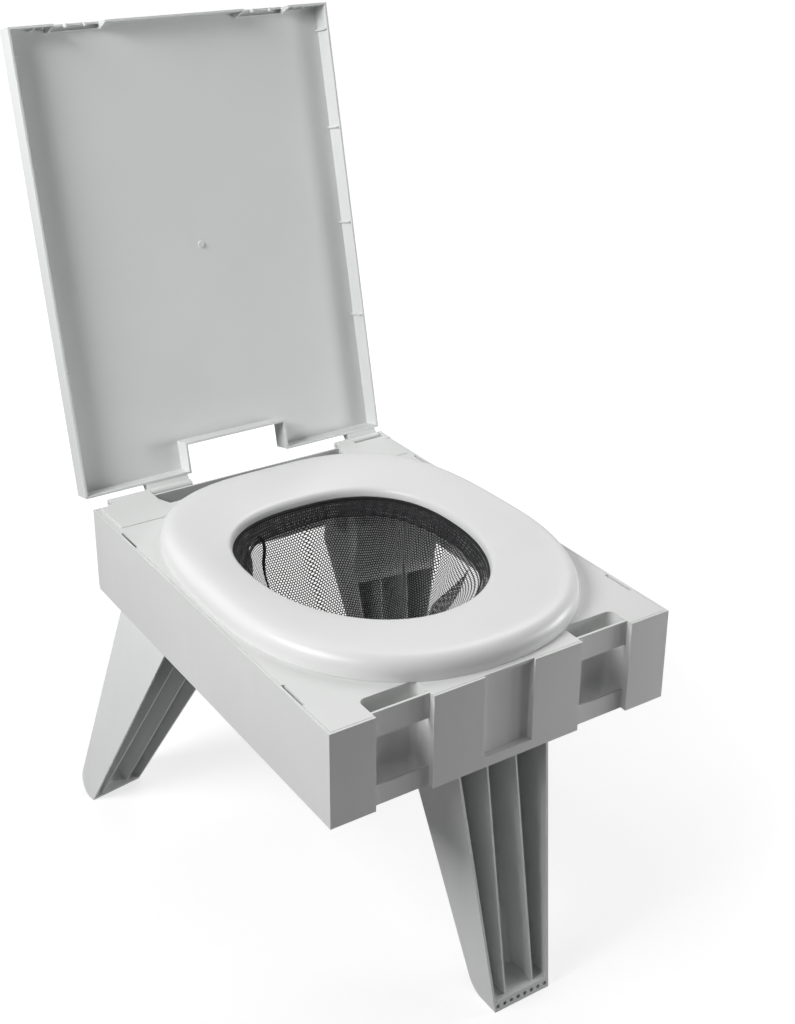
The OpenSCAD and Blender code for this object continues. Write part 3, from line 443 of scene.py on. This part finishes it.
def pale_floor(name):
    """Pale floor that the camera sees as white where no shadow falls."""
    stage = bpy.context.scene.toilet_stage
    finish = Finish(name)
    tone = finish.cloud(1.2, 2)
    finish.set("Base Color", finish.mixed(tone, (0.36, 0.36, 0.36), (0.375, 0.375, 0.375)))
    finish.set("Roughness", 0.75)
    finish.set("Specular IOR Level", 0.1)
    seen = finish.node("ShaderNodeLightPath", output="Is Camera Ray")
    away = finish.node("ShaderNodeVectorMath", {"operation": "LENGTH"}, "Value", Vector=finish.place())
    near = (stage.floor_lift,) * 3
    glow = finish.tree.nodes.new("ShaderNodeEmission")
    plug(finish.tree, glow.inputs["Color"],
         finish.mixed(away.step(stage.lift_radius / 3, stage.lift_radius), near, (1, 1, 1)))
    plug(finish.tree, glow.inputs["Strength"], seen)
    both = finish.tree.nodes.new("ShaderNodeAddShader")
    finish.tree.links.new(finish.shader.outputs[0], both.inputs[0])
    finish.tree.links.new(glow.outputs[0], both.inputs[1])
    output = finish.tree.nodes["Material Output"]
    finish.tree.links.new(both.outputs[0], output.inputs["Surface"])
    return finish.material


_materials = {}


def material(kind):
    """Each of the object's finishes, made once."""
    looks = bpy.context.scene.toilet_finish
    bag = bpy.context.scene.toilet_bag
    recipes = {
        "case": lambda: moulded_plastic("case plastic", looks.case_colour, 0.46, streaks=0.15),
        "deck": lambda: moulded_plastic("deck plastic", looks.case_colour, 0.45, marks=0.2),
        "seat": lambda: moulded_plastic("seat plastic", looks.seat_colour, 0.36, grain=0.5),
        "lid": lambda: moulded_plastic("lid plastic", looks.lid_colour, 0.50, marks=0.15),
        "leg": lambda: moulded_plastic("leg plastic", looks.leg_colour, 0.50, streaks=0.2),
        "bracket": lambda: moulded_plastic("bracket plastic", tint(looks.lid_colour, 0.85), 0.5),
        "steel": lambda: plated_steel("plated steel", looks.steel_colour),
        "net": lambda: knitted_net("knitted net", looks.net_colour, bag.pitch, bag.yarn_share),
        "doubled": lambda: knitted_net(
            "doubled net", looks.net_colour, bag.pitch * 0.93, bag.doubled_share),
        "tape": lambda: braided_tape("braided tape", looks.net_colour, 2.6 * MM),
        "binding": lambda: braided_tape("woven binding", looks.net_colour, 1.3 * MM),
        "seam": lambda: braided_tape("seam thread", tint(looks.net_colour, 5.5), 1.3 * MM),
        "floor": lambda: pale_floor("pale floor"),
    }
    if kind not in _materials:
        _materials[kind] = recipes[kind]()
    return _materials[kind]


# Mesh helpers


def new_object(name, bm, kind):
    """A finished bmesh as an object with one material."""
    mesh = bpy.data.meshes.new(name)
    bm.to_mesh(mesh)
    bm.free()
    mesh.materials.append(material(kind))
    made = bpy.data.objects.new(name, mesh)
    bpy.context.scene.collection.objects.link(made)
    return made


def node_copy(node):
    """A CAD node's surface with its loose triangles joined and its flat faces made whole."""
    bm = bmesh.new()
    bm.from_mesh(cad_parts[node].data)
    bmesh.ops.remove_doubles(bm, verts=bm.verts, dist=0.002 * MM)
    bmesh.ops.dissolve_degenerate(bm, edges=bm.edges, dist=0.002 * MM)
    bmesh.ops.dissolve_limit(
        bm, angle_limit=math.radians(0.4), verts=bm.verts, edges=bm.edges)
    return bm


def smooth_all(bm):
    """Marks every face smooth."""
    for face in bm.faces:
        face.smooth = True


def soften(piece, width, segments=2, angle=32):
    """Rounds a piece's edges the way a mould does."""
    bevel = piece.modifiers.new("soft edges", "BEVEL")
    bevel.width = width
    bevel.segments = segments
    bevel.limit_method = "ANGLE"
    bevel.angle_limit = math.radians(angle)
    bevel.use_clamp_overlap = True
    level = piece.modifiers.new("flat faces", "WEIGHTED_NORMAL")
    level.mode = "FACE_AREA"
    level.weight = 100
    return piece


def moulding(name, node, body, kind, width=0.5 * MM, details=None):
    """A CAD node's copy with soft edges, standing for the node."""
    bm = node_copy(node)
    if details:
        details(bm)
    smooth_all(bm)
    piece = new_object(name, bm, kind)
    soften(piece, width)
    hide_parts(node)
    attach(piece, body)
    return piece


# Egg-shaped outlines of the seat and its hole


def power(value, exponent):
    """A power that keeps the sign of its value."""
    return math.copysign(abs(value) ** exponent, value)


class Egg:
    """An outline with its own front and rear length and fullness."""

    def __init__(self, half, front, rear, wide_y, full_front, full_rear):
        self.half = half
        self.front = front
        self.rear = rear
        self.wide_y = wide_y
        self.full_front = full_front
        self.full_rear = full_rear

    def point(self, angle, grow=0.0):
        """The outline's point at an angle, grown outwards by a distance."""
        ahead = math.sin(angle) < 0
        full = self.full_front if ahead else self.full_rear
        reach = (self.wide_y - self.front) if ahead else (self.rear - self.wide_y)
        x = (self.half + grow) * power(math.cos(angle), 2 / full)
        y = self.wide_y + (reach + grow) * power(math.sin(angle), 2 / full)
        return Vector((x, y, 0))


HOLE_FRONT = HOOP_LOW.y + HOOP_R
HOLE_REAR = HOOP_HIGH.y - HOOP_R
HOLE_WIDE_Y = CASE_Y + (HOLE_REAR - CASE_Y) * 0.07
HOLE = Egg(HOOP_HIGH.x - HOOP_R, HOLE_FRONT, HOLE_REAR, HOLE_WIDE_Y, 2.05, 2.5)
SEAT_WIDE_Y = CASE_Y + (HOLE_FRONT - CASE_Y) * 0.14
SEAT = Egg(SEAT_HIGH.x, SEAT_LOW.y, SEAT_HIGH.y, SEAT_WIDE_Y, 2.25, 3)


def spun_rows(rows, steps, closed):
    """A unit surface of revolution whose vertices know their row, ready to be placed."""
    bm = bmesh.new()
    row_layer = bm.verts.layers.int.new("row")
    chain = []
    for index in range(rows):
        vertex = bm.verts.new((1 + index / rows, 0, 0))
        vertex[row_layer] = index
        chain.append(vertex)
    pairs = list(zip(chain, chain[1:]))
    if closed:
        pairs.append((chain[-1], chain[0]))
    edges = [bm.edges.new(pair) for pair in pairs]
    bmesh.ops.spin(bm, geom=chain + edges, cent=(0, 0, 0), axis=(0, 0, 1), angle=2 * math.pi,
                   steps=steps, use_merge=True)
    return bm, row_layer


def place_rows(bm, row_layer, place):
    """Moves each vertex to place(row, angle)."""
    for vertex in bm.verts:
        angle = math.atan2(vertex.co.y, vertex.co.x)
        vertex.co = place(vertex[row_layer], angle)


# Operators


class TOILET_OT_case(bpy.types.Operator):
    """Dress the tub and the deck plate"""

    bl_idname = "toilet.case"
    bl_label = "Case"

    def execute(self, context):
        moulding("tub", "base_tub", "base", "case")
        moulding("deck", "deck_plate", "base", "deck", 0.4 * MM)
        return {"FINISHED"}


class TOILET_OT_seat(bpy.types.Operator):
    """Loft the seat from its throat over the crest to its foot"""

    bl_idname = "toilet.seat"
    bl_label = "Seat"

    def skin(self, seat, span):
        """Outer skin across the band, from the throat to the foot, as (distance out, height)."""
        crest = SEAT_HIGH.z - DECK_Z
        low = seat.throat_drop
        rise = seat.lip_height - low
        lip = [(0, 0), (0, 0.06), (0.02, 0.42), (0.13, 0.70), (0.38, 0.89), (1, 1)]
        points = [(x * seat.lip_width, low + z * rise) for x, z in lip]
        start = points[-1]
        way = span - seat.brow - start[0]
        slope = [(0.22, 0.28), (0.48, 0.60), (0.76, 0.88), (1, 1)]
        points += [(start[0] + x * way, start[1] + z * (crest - start[1])) for x, z in slope]
        brow = [(0.72, 0.985), (0.48, 0.93), (0.28, 0.82), (0.13, 0.66), (0.045, 0.47),
                (0.012, 0.28), (0.006, 0.135), (0, 0.115), (0, 0.01), (0, 0)]
        points += [(span - x * seat.brow, z * crest) for x, z in brow]
        return points

    def execute(self, context):
        seat = context.scene.toilet_seat
        count = len(self.skin(seat, 1.0))
        bm, row_layer = spun_rows(2 * count, seat.steps, True)

        def place(row, angle):
            inner = HOLE.point(angle)
            outer = SEAT.point(angle)
            span = (outer - inner).length
            out = (outer - inner) / span
            points = self.skin(seat, span)
            under = row >= count
            index = 2 * count - 1 - row if under else row
            x, z = points[index]
            if under:
                before = points[max(index - 1, 0)]
                after = points[min(index + 1, count - 1)]
                along = Vector((after[0] - before[0], after[1] - before[1])).normalized()
                x += along.y * seat.thickness
                z = max(0, z - along.x * seat.thickness) if 0 < index < count - 1 else z
            return inner + out * x + Vector((0, 0, DECK_Z + z))

        place_rows(bm, row_layer, place)
        bmesh.ops.recalc_face_normals(bm, faces=bm.faces)
        smooth_all(bm)
        piece = new_object("seat", bm, "seat")
        finer = piece.modifiers.new("finer", "SUBSURF")
        finer.levels = finer.render_levels = 1
        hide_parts("seat_ring")
        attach(piece, "base")
        return {"FINISHED"}


class TOILET_OT_hinges(bpy.types.Operator):
    """Dress the lid hinges' halves and pins"""

    bl_idname = "toilet.hinges"
    bl_label = "Lid hinges"

    def execute(self, context):
        for side in ("left", "right"):
            moulding("deck_hinge_" + side, "hinge_base_" + side, "base", "deck",
                     0.3 * MM)
            moulding("lid_leaf_" + side, "lid_hinge_" + side, "lid", "deck", 0.3 * MM)
            dress_pin("hinge_pin_" + side)
        return {"FINISHED"}


def dress_pin(node):
    """Gives a CAD pin its steel."""
    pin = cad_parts[node]
    pin.data.materials.clear()
    pin.data.materials.append(material("steel"))


class TOILET_OT_lid(bpy.types.Operator):
    """Dress the lid"""

    bl_idname = "toilet.lid"
    bl_label = "Lid"

    def execute(self, context):
        moulding("lid", "lid_shell", "lid", "lid", 0.5 * MM)
        return {"FINISHED"}


class TOILET_OT_legs(bpy.types.Operator):
    """Dress the three legs"""

    bl_idname = "toilet.legs"
    bl_label = "Legs"

    def execute(self, context):
        for node in ("front_leg", "rear_leg_left", "rear_leg_right"):
            moulding(node + "_moulding", node, node, "leg", 0.5 * MM)
        return {"FINISHED"}


class TOILET_OT_brackets(bpy.types.Operator):
    """Dress the brackets, pins, screws and clips under the deck"""

    bl_idname = "toilet.brackets"
    bl_label = "Brackets and fasteners"

    def execute(self, context):
        for node in ("front_leg_bracket", "rear_leg_bracket_left", "rear_leg_bracket_right"):
            moulding(node + "_moulding", node, "base", "bracket", 0.3 * MM)
        for node in ("front_leg_pin", "rear_leg_pin_left", "rear_leg_pin_right",
                     "bracket_screws", "pin_clips"):
            dress_pin(node)
        for node in ("net_clips",):
            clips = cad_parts[node]
            clips.data.materials.clear()
            clips.data.materials.append(material("bracket"))
        return {"FINISHED"}


# The net bag

# Side profile of the bag: [share of the hole's outline, share of the bag's depth]
BAG_SHARES = [
    (0.985, 0.02), (0.93, 0.055), (0.89, 0.13), (0.84, 0.26), (0.78, 0.42), (0.70, 0.60),
    (0.58, 0.78), (0.40, 0.92), (0.20, 0.985), (0.0, 1.0)]
FOLD_COUNT = 9
HEM_TOP = 1.4 * MM
HEM_EDGE = 1.8 * MM
PLEAT_COUNT = 52
PLEAT_ANGLE = math.radians(28)
PLEAT_DEPTH = 0.75
SAG_ANGLE = math.radians(316)
SAG_START = 0.09


def bag_share(depth):
    """Share of the hole's outline at a share of the bag's depth."""
    for (outer, above), (inner, below) in zip(BAG_SHARES, BAG_SHARES[1:]):
        if depth <= below:
            return outer + (inner - outer) * max(0, depth - above) / (below - above)
    return 0.0


def beside_fold(angle):
    """1 where the net sags beside its fold, 0 on the other side of the bag."""
    return max(0, math.cos(angle - SAG_ANGLE)) ** 6


def bag_point(angle, depth, inset=0.0):
    """A point of the net at an angle and a share of its depth."""
    bag = bpy.context.scene.toilet_bag
    full = DECK_Z - BAG_LOW.z
    edge = HOLE.point(angle)
    middle = Vector((0, HOLE_WIDE_Y, 0))
    out = edge - middle
    wave = bag.fold_depth * math.sin(depth * math.pi)
    fold = math.cos(FOLD_COUNT * angle + math.radians(40) * depth)
    fine = noise.noise(Vector((math.cos(angle) * 3.1, math.sin(angle) * 3.1, depth * 2.2)))
    gathered = max(0, math.cos(angle - PLEAT_ANGLE)) ** 6 * max(0, 1 - depth / PLEAT_DEPTH)
    pleat = bag.pleat_depth * gathered * math.cos(PLEAT_COUNT * angle) * min(1, depth / 0.06)
    below_hem = min(1, max(0, (depth - SAG_START) / (1 - SAG_START)))
    pleat -= bag.sag_depth * beside_fold(angle) * math.sin(below_hem ** 0.8 * math.pi)
    reach = out.length * bag_share(depth) + wave * (fold * 0.75 + fine * 0.9) + pleat - inset
    return middle + out.normalized() * max(0, reach) + Vector((0, 0, DECK_Z - depth * full))


class TOILET_OT_bag(bpy.types.Operator):
    """Hang the net bag, with its hem, seams and drawstring tape"""

    bl_idname = "toilet.bag"
    bl_label = "Net bag"

    rows = 44
    steps = 416

    def execute(self, context):
        bag = context.scene.toilet_bag
        net = self.make_net(bag)
        extras = [self.make_sleeve(), self.make_hem(), self.make_hem_edge(),
                  self.make_seams(bag), self.make_fold(), self.make_tape(bag)]
        for piece in [net] + extras:
            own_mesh(piece)
        return {"FINISHED"}

    def make_net(self, bag):
        """The net itself, one layer, mapped panel by panel in metres."""
        top = BAG_SHARES[0][1]
        depths = [top + (1 - top) * i / (self.rows - 1) for i in range(self.rows)]
        lengths = meridian(depths)
        bm, row_layer = spun_rows(self.rows, self.steps, False)
        turns = {v: math.atan2(v.co.y, v.co.x) for v in bm.verts}
        rows = {v: v[row_layer] for v in bm.verts}
        map_layer = bm.loops.layers.uv.new("net")
        panel = 2 * math.pi / bag.panels
        for face in bm.faces:
            heart = face.calc_center_median()
            at = math.atan2(heart.y, heart.x) - bag.first_seam
            middle = bag.first_seam + (math.floor(at / panel) + 0.5) * panel
            for loop in face.loops:
                row = rows[loop.vert]
                reach = mean_radius() * bag_share(depths[row])
                turn = (turns[loop.vert] - middle + math.pi) % (2 * math.pi) - math.pi
                if depths[row] > 0.86:
                    flat = lengths[-1] - lengths[row]
                    loop[map_layer].uv = (flat * math.cos(turn + middle), flat * math.sin(turn + middle))
                else:
                    loop[map_layer].uv = (turn * reach, lengths[row])
        place_rows(bm, row_layer, lambda row, angle: bag_point(angle, depths[row]))
        bmesh.ops.remove_doubles(bm, verts=bm.verts, dist=0.01 * MM)
        bmesh.ops.recalc_face_normals(bm, faces=bm.faces)
        smooth_all(bm)
        net = new_object("net", bm, "net")
        return self.hang(net, "net_bag", "mesh_fabric")

    def hang(self, piece, node, slot):
        """Lets a soft piece stand for a node and ride on the case."""
        if node:
            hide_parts(node)
        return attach(piece, "base")

    def make_sleeve(self):
        """The sleeve in which the hoop runs."""
        sides = 12
        bm, row_layer = spun_rows(sides, 120, True)
        middle_z = (HOOP_LOW.z + HOOP_HIGH.z) / 2

        def place(row, angle):
            turn = row * 2 * math.pi / sides
            pucker = 0.12 * MM * math.sin(angle * 90)
            reach = (HOOP_R + pucker) * math.cos(turn)
            return HOLE.point(angle, reach) + Vector((0, 0, middle_z + HOOP_R * math.sin(turn)))

        place_rows(bm, row_layer, place)
        bmesh.ops.recalc_face_normals(bm, faces=bm.faces)
        map_strip(bm, row_layer, 1.2 * MM)
        smooth_all(bm)
        return self.hang(new_object("hoop_sleeve", bm, "binding"), "net_hoop", "tape_fabric")

    def make_band(self, name, kind, fall, inset, thickness=0.0):
        """A band of cloth round the bag's wall; fall(share of its height, angle) is from the deck."""
        rows = 5
        bm, row_layer = spun_rows(rows, 416, False)
        full = DECK_Z - BAG_LOW.z

        def place(row, angle):
            depth = fall(row / (rows - 1), angle) / full
            point = bag_point(angle, max(depth, BAG_SHARES[0][1]), inset)
            point.z = DECK_Z - depth * full
            return point

        place_rows(bm, row_layer, place)
        bmesh.ops.recalc_face_normals(bm, faces=bm.faces)
        map_strip(bm, row_layer, (fall(1, 0) - fall(0, 0)) / (rows - 1))
        smooth_all(bm)
        band = new_object(name, bm, kind)
        if thickness:
            thicken(band, thickness)
        return self.hang(band, None, "tape_fabric")

    def hem_end(self, angle):
        """Height of the hem's lower edge below the deck."""
        return bpy.context.scene.toilet_bag.hem_height * (1 - 0.5 * beside_fold(angle)) + HEM_TOP

    def make_hem(self):
        """Doubled net under the sleeve."""
        return self.make_band(
            "hem", "doubled", lambda part, angle: HEM_TOP + (self.hem_end(angle) - HEM_TOP) * part,
            0.6 * MM)

    def make_hem_edge(self):
        """Stitched lower edge of the hem."""
        return self.make_band(
            "hem_edge", "binding", lambda part, angle: self.hem_end(angle) + HEM_EDGE * part,
            0.5 * MM, 0.7 * MM)

    def make_seams(self, bag):
        """Felled seams between the net's panels."""
        whole = bmesh.new()
        panel = 2 * math.pi / bag.panels
        top = 1.2 * bag.hem_height / (DECK_Z - BAG_LOW.z)

        def place(index, side, along):
            depth = top + (0.93 - top) * along
            middle = bag.first_seam + index * panel + bag.seam_drift * depth
            turn = side * bag.seam_width / (2 * mean_radius() * max(0.2, bag_share(depth)))
            return bag_point(middle + turn, depth, 0.5 * MM)

        for index in range(bag.panels):
            join(whole, ribbon(40, lambda side, along, index=index: place(index, side, along)))
        smooth_all(whole)
        seams = new_object("seams", whole, "seam")
        thicken(seams, 0.6 * MM)
        return self.hang(seams, None, "mesh_fabric")

    def make_fold(self):
        """Wedge where the net is folded over and lies double."""
        def place(side, along):
            right = along_places(FOLD_RIGHT, along)
            left = along_places(FOLD_LEFT, along)
            angle, depth = (a + (b - a) * (side + 1) / 2 for a, b in zip(right, left))
            return bag_point(math.radians(angle), depth, 1.5 * MM)

        bm = ribbon(36, place, 16)
        map_layer = bm.loops.layers.uv["net"]
        askew = Matrix.Rotation(math.radians(35), 2)
        for face in bm.faces:
            for loop in face.loops:
                co = loop.vert.co
                round_it = math.atan2(co.y - HOLE_WIDE_Y, co.x) * mean_radius()
                loop[map_layer].uv = askew @ Vector((round_it, co.z))
        smooth_all(bm)
        return self.hang(new_object("net_fold", bm, "doubled"), None, "mesh_fabric")

    def make_tape(self, bag):
        """Drawstring tape that hangs down the inside of the net."""
        def place(side, along):
            angle, depth = along_places(TAPE_SHARES, along)
            angle = math.radians(angle)
            width = bag.tape_width * (0.42 + 0.58 * min(1, along * 1.5) ** 2)
            middle = bag_point(angle, depth, TAPE_INSET)
            ahead = bag_point(angle, depth + 0.01, TAPE_INSET) - middle
            out = Vector((math.cos(angle), math.sin(angle), 0))
            across = out.cross(ahead).normalized()
            twist = math.radians(28) * math.sin(along * 9)
            across = Matrix.Rotation(twist, 3, ahead.normalized()) @ across
            return middle + across * side * width / 2

        bm = ribbon(70, place)
        smooth_all(bm)
        tape = new_object("drawstring", bm, "tape")
        thicken(tape, 1.3 * MM)
        return self.hang(tape, "drawstring_tape", "tape_fabric")


# Drawstring's places down the bag's wall: [angle in degrees, share of the bag's depth]
TAPE_SHARES = [(118, 0.05), (116, 0.10), (117, 0.17), (121, 0.25), (124, 0.33), (124, 0.42),
               (127, 0.50), (133, 0.58), (138, 0.65), (140, 0.72)]
TAPE_INSET = 3.2 * MM
# The folded wedge's right and left edges, from the top down, in the same terms
FOLD_RIGHT = [(333, 0.09), (329, 0.12), (324, 0.155), (317, 0.195), (309, 0.24), (303, 0.32)]
FOLD_LEFT = [(333.5, 0.09), (329, 0.14), (328.5, 0.20), (330, 0.29), (336, 0.40), (354, 0.60)]


def along_places(places, along):
    """The angle and depth at a share of the way through a list of places."""
    at = along * (len(places) - 1)
    index = min(int(at), len(places) - 2)
    return [a + (b - a) * (at - index) for a, b in zip(places[index], places[index + 1])]


def mean_radius():
    """Mean radius of the hole through the seat."""
    return (HOLE.half + (HOLE.rear - HOLE.front) / 2) / 2


def meridian(depths):
    """Length down the net from its rim to each depth."""
    full = DECK_Z - BAG_LOW.z
    lengths = [0.0]
    for above, below in zip(depths, depths[1:]):
        fall = (below - above) * full
        draw = (bag_share(above) - bag_share(below)) * mean_radius()
        lengths.append(lengths[-1] + math.hypot(fall, draw))
    return lengths


def ribbon(length_steps, place, width_steps=3):
    """A strip whose vertices go to place(side from -1 to 1, share along)."""
    bm = bmesh.new()
    bmesh.ops.create_grid(bm, x_segments=width_steps, y_segments=length_steps, size=1)
    map_layer = bm.loops.layers.uv.new("net")
    shares = {v: (v.co.x, (v.co.y + 1) / 2) for v in bm.verts}
    for vertex in bm.verts:
        vertex.co = place(*shares[vertex])
    ends = [v for v in bm.verts if shares[v][1] == 0]
    wide = max((a.co - b.co).length for a in ends for b in ends)
    middle = [v.co for v in sorted(bm.verts, key=lambda v: shares[v][1]) if abs(shares[v][0]) < 0.5]
    long = sum((a - b).length for a, b in zip(middle[::2], middle[2::2]))
    for face in bm.faces:
        for loop in face.loops:
            side, along = shares[loop.vert]
            loop[map_layer].uv = (side * wide / 2, along * long)
    return bm


def join(whole, bm):
    """Adds one bmesh to another."""
    mesh = bpy.data.meshes.new("strip")
    bm.to_mesh(mesh)
    bm.free()
    whole.from_mesh(mesh)
    bpy.data.meshes.remove(mesh)


def map_strip(bm, row_layer, row_width):
    """Maps a spun strip in metres: round it along u, across it along v."""
    map_layer = bm.loops.layers.uv.new("net")
    for face in bm.faces:
        heart = face.calc_center_median()
        base = math.atan2(heart.y - HOLE_WIDE_Y, heart.x)
        for loop in face.loops:
            place = loop.vert.co
            turn = (math.atan2(place.y - HOLE_WIDE_Y, place.x) - base + math.pi) % (2 * math.pi) - math.pi
            loop[map_layer].uv = ((base + turn) * mean_radius(), loop.vert[row_layer] * row_width)


def thicken(piece, thickness):
    """Gives a strip its thickness, to both sides."""
    wall = piece.modifiers.new("thickness", "SOLIDIFY")
    wall.thickness = thickness
    wall.offset = 0
    return piece


class TOILET_OT_stage(bpy.types.Operator):
    """Set up the floor, the lamps, the surroundings and the camera"""

    bl_idname = "toilet.stage"
    bl_label = "Stage"

    def execute(self, context):
        stage = context.scene.toilet_stage
        bm = bmesh.new()
        bmesh.ops.create_grid(bm, x_segments=1, y_segments=1, size=stage.floor_size / 2)
        floor = new_object("floor", bm, "floor")
        target = Vector((0, 0, 0.35))
        self.lamp(context, "key", (-1.2, 0.0, 1.3), target, 0.7, stage.key_power)
        self.lamp(context, "left", (-2.2, -0.4, 2.1), target, 1.0, stage.left_power)
        self.lamp(context, "back", (1.6, 0.9, 2.4), target, 1.4, stage.back_power)
        self.lamp(context, "side", (1.2, -0.62, 0.42), target, 0.4, stage.side_power)
        self.lamp(context, "front", (1.3, -1.3, 0.7), target, 0.5, stage.front_power)
        self.surroundings(context, stage)
        self.camera(context)
        view = context.scene.view_settings
        view.view_transform = "Standard"
        return {"FINISHED"}

    def lamp(self, context, name, place, target, size, power):
        """A square soft lamp that faces the target."""
        light = bpy.data.lights.new(name, "AREA")
        light.energy = power
        light.size = size
        lamp = bpy.data.objects.new(name, light)
        lamp.location = place
        lamp.rotation_euler = (target - Vector(place)).to_track_quat("-Z", "Y").to_euler()
        context.scene.collection.objects.link(lamp)

    def surroundings(self, context, stage):
        """White for the camera and reflections, and dimmer as a light."""
        world = bpy.data.worlds.new("surroundings")
        world.use_nodes = True
        tree = world.node_tree
        back = tree.nodes["Background"]
        back.inputs["Color"].default_value = (1, 1, 1, 1)
        path = tree.nodes.new("ShaderNodeLightPath")
        seen = Wire(tree, path.outputs["Is Camera Ray"]).larger(
            Wire(tree, path.outputs["Is Glossy Ray"])).larger(
            Wire(tree, path.outputs["Is Transmission Ray"]))
        plug(tree, back.inputs["Strength"], seen * (1 - stage.world_strength) + stage.world_strength)
        context.scene.world = world

    def camera(self, context):
        """The camera that took the photograph, from its solved place and axes."""
        right, up, ahead = (Vector(v) for v in CAMERA_AXES)
        data = bpy.data.cameras.new("camera")
        data.sensor_width = 36
        data.lens = CAMERA_FOCUS / IMAGE[1] * data.sensor_width
        data.shift_x = (IMAGE[0] / 2 - CAMERA_CENTRE[0]) / IMAGE[1]
        data.shift_y = (CAMERA_CENTRE[1] - IMAGE[1] / 2) / IMAGE[1]
        data.clip_end = 100
        camera = bpy.data.objects.new("camera", data)
        turn = Matrix((right, up, -ahead)).transposed()
        camera.matrix_world = Matrix.Translation(CAMERA_PLACE) @ turn.to_4x4()
        context.scene.collection.objects.link(camera)
        context.scene.camera = camera


# The solved camera, with its focal length and centre in the photograph's pixels
IMAGE = (795, 1024)
CAMERA_PLACE = Vector((-0.720007, -1.211152, 1.082751))
CAMERA_AXES = (
    (0.83602721, -0.54864812, 0.00661441),
    (0.212138, 0.33432533, 0.91827231),
    (0.50601974, 0.76629747, -0.39589419))
CAMERA_FOCUS = 1498.5065
CAMERA_CENTRE = (397.5, 430)


class TOILET_PT_panel(bpy.types.Panel):
    """The toilet's dressing in the sidebar"""

    bl_idname = "TOILET_PT_panel"
    bl_label = "Folding toilet"
    bl_space_type = "VIEW_3D"
    bl_region_type = "UI"
    bl_category = "Toilet"

    def draw(self, context):
        for name, _ in SETTINGS:
            box = self.layout.box()
            group = getattr(context.scene, name)
            for key in group.bl_rna.properties.keys():
                if key not in ("rna_type", "name"):
                    box.prop(group, key)
        for step in STEPS:
            self.layout.operator(step.bl_idname)


STEPS = (
    TOILET_OT_case,
    TOILET_OT_seat,
    TOILET_OT_hinges,
    TOILET_OT_lid,
    TOILET_OT_legs,
    TOILET_OT_brackets,
    TOILET_OT_bag,
    TOILET_OT_stage,
)


def register():
    """Registers the settings, the steps and the panel."""
    for name, group in SETTINGS:
        bpy.utils.register_class(group)
        setattr(bpy.types.Scene, name, bpy.props.PointerProperty(type=group))
    for step in STEPS + (TOILET_PT_panel,):
        bpy.utils.register_class(step)


def unregister():
    """Removes them again."""
    for step in reversed(STEPS + (TOILET_PT_panel,)):
        bpy.utils.unregister_class(step)
    for name, group in reversed(SETTINGS):
        delattr(bpy.types.Scene, name)
        bpy.utils.unregister_class(group)


def main():
    """Dresses the part."""
    register()
    bpy.ops.toilet.case()
    bpy.ops.toilet.seat()
    bpy.ops.toilet.hinges()
    bpy.ops.toilet.lid()
    bpy.ops.toilet.legs()
    bpy.ops.toilet.brackets()
    bpy.ops.toilet.bag()
    bpy.ops.toilet.stage()


if __name__ == "__main__":
    main()
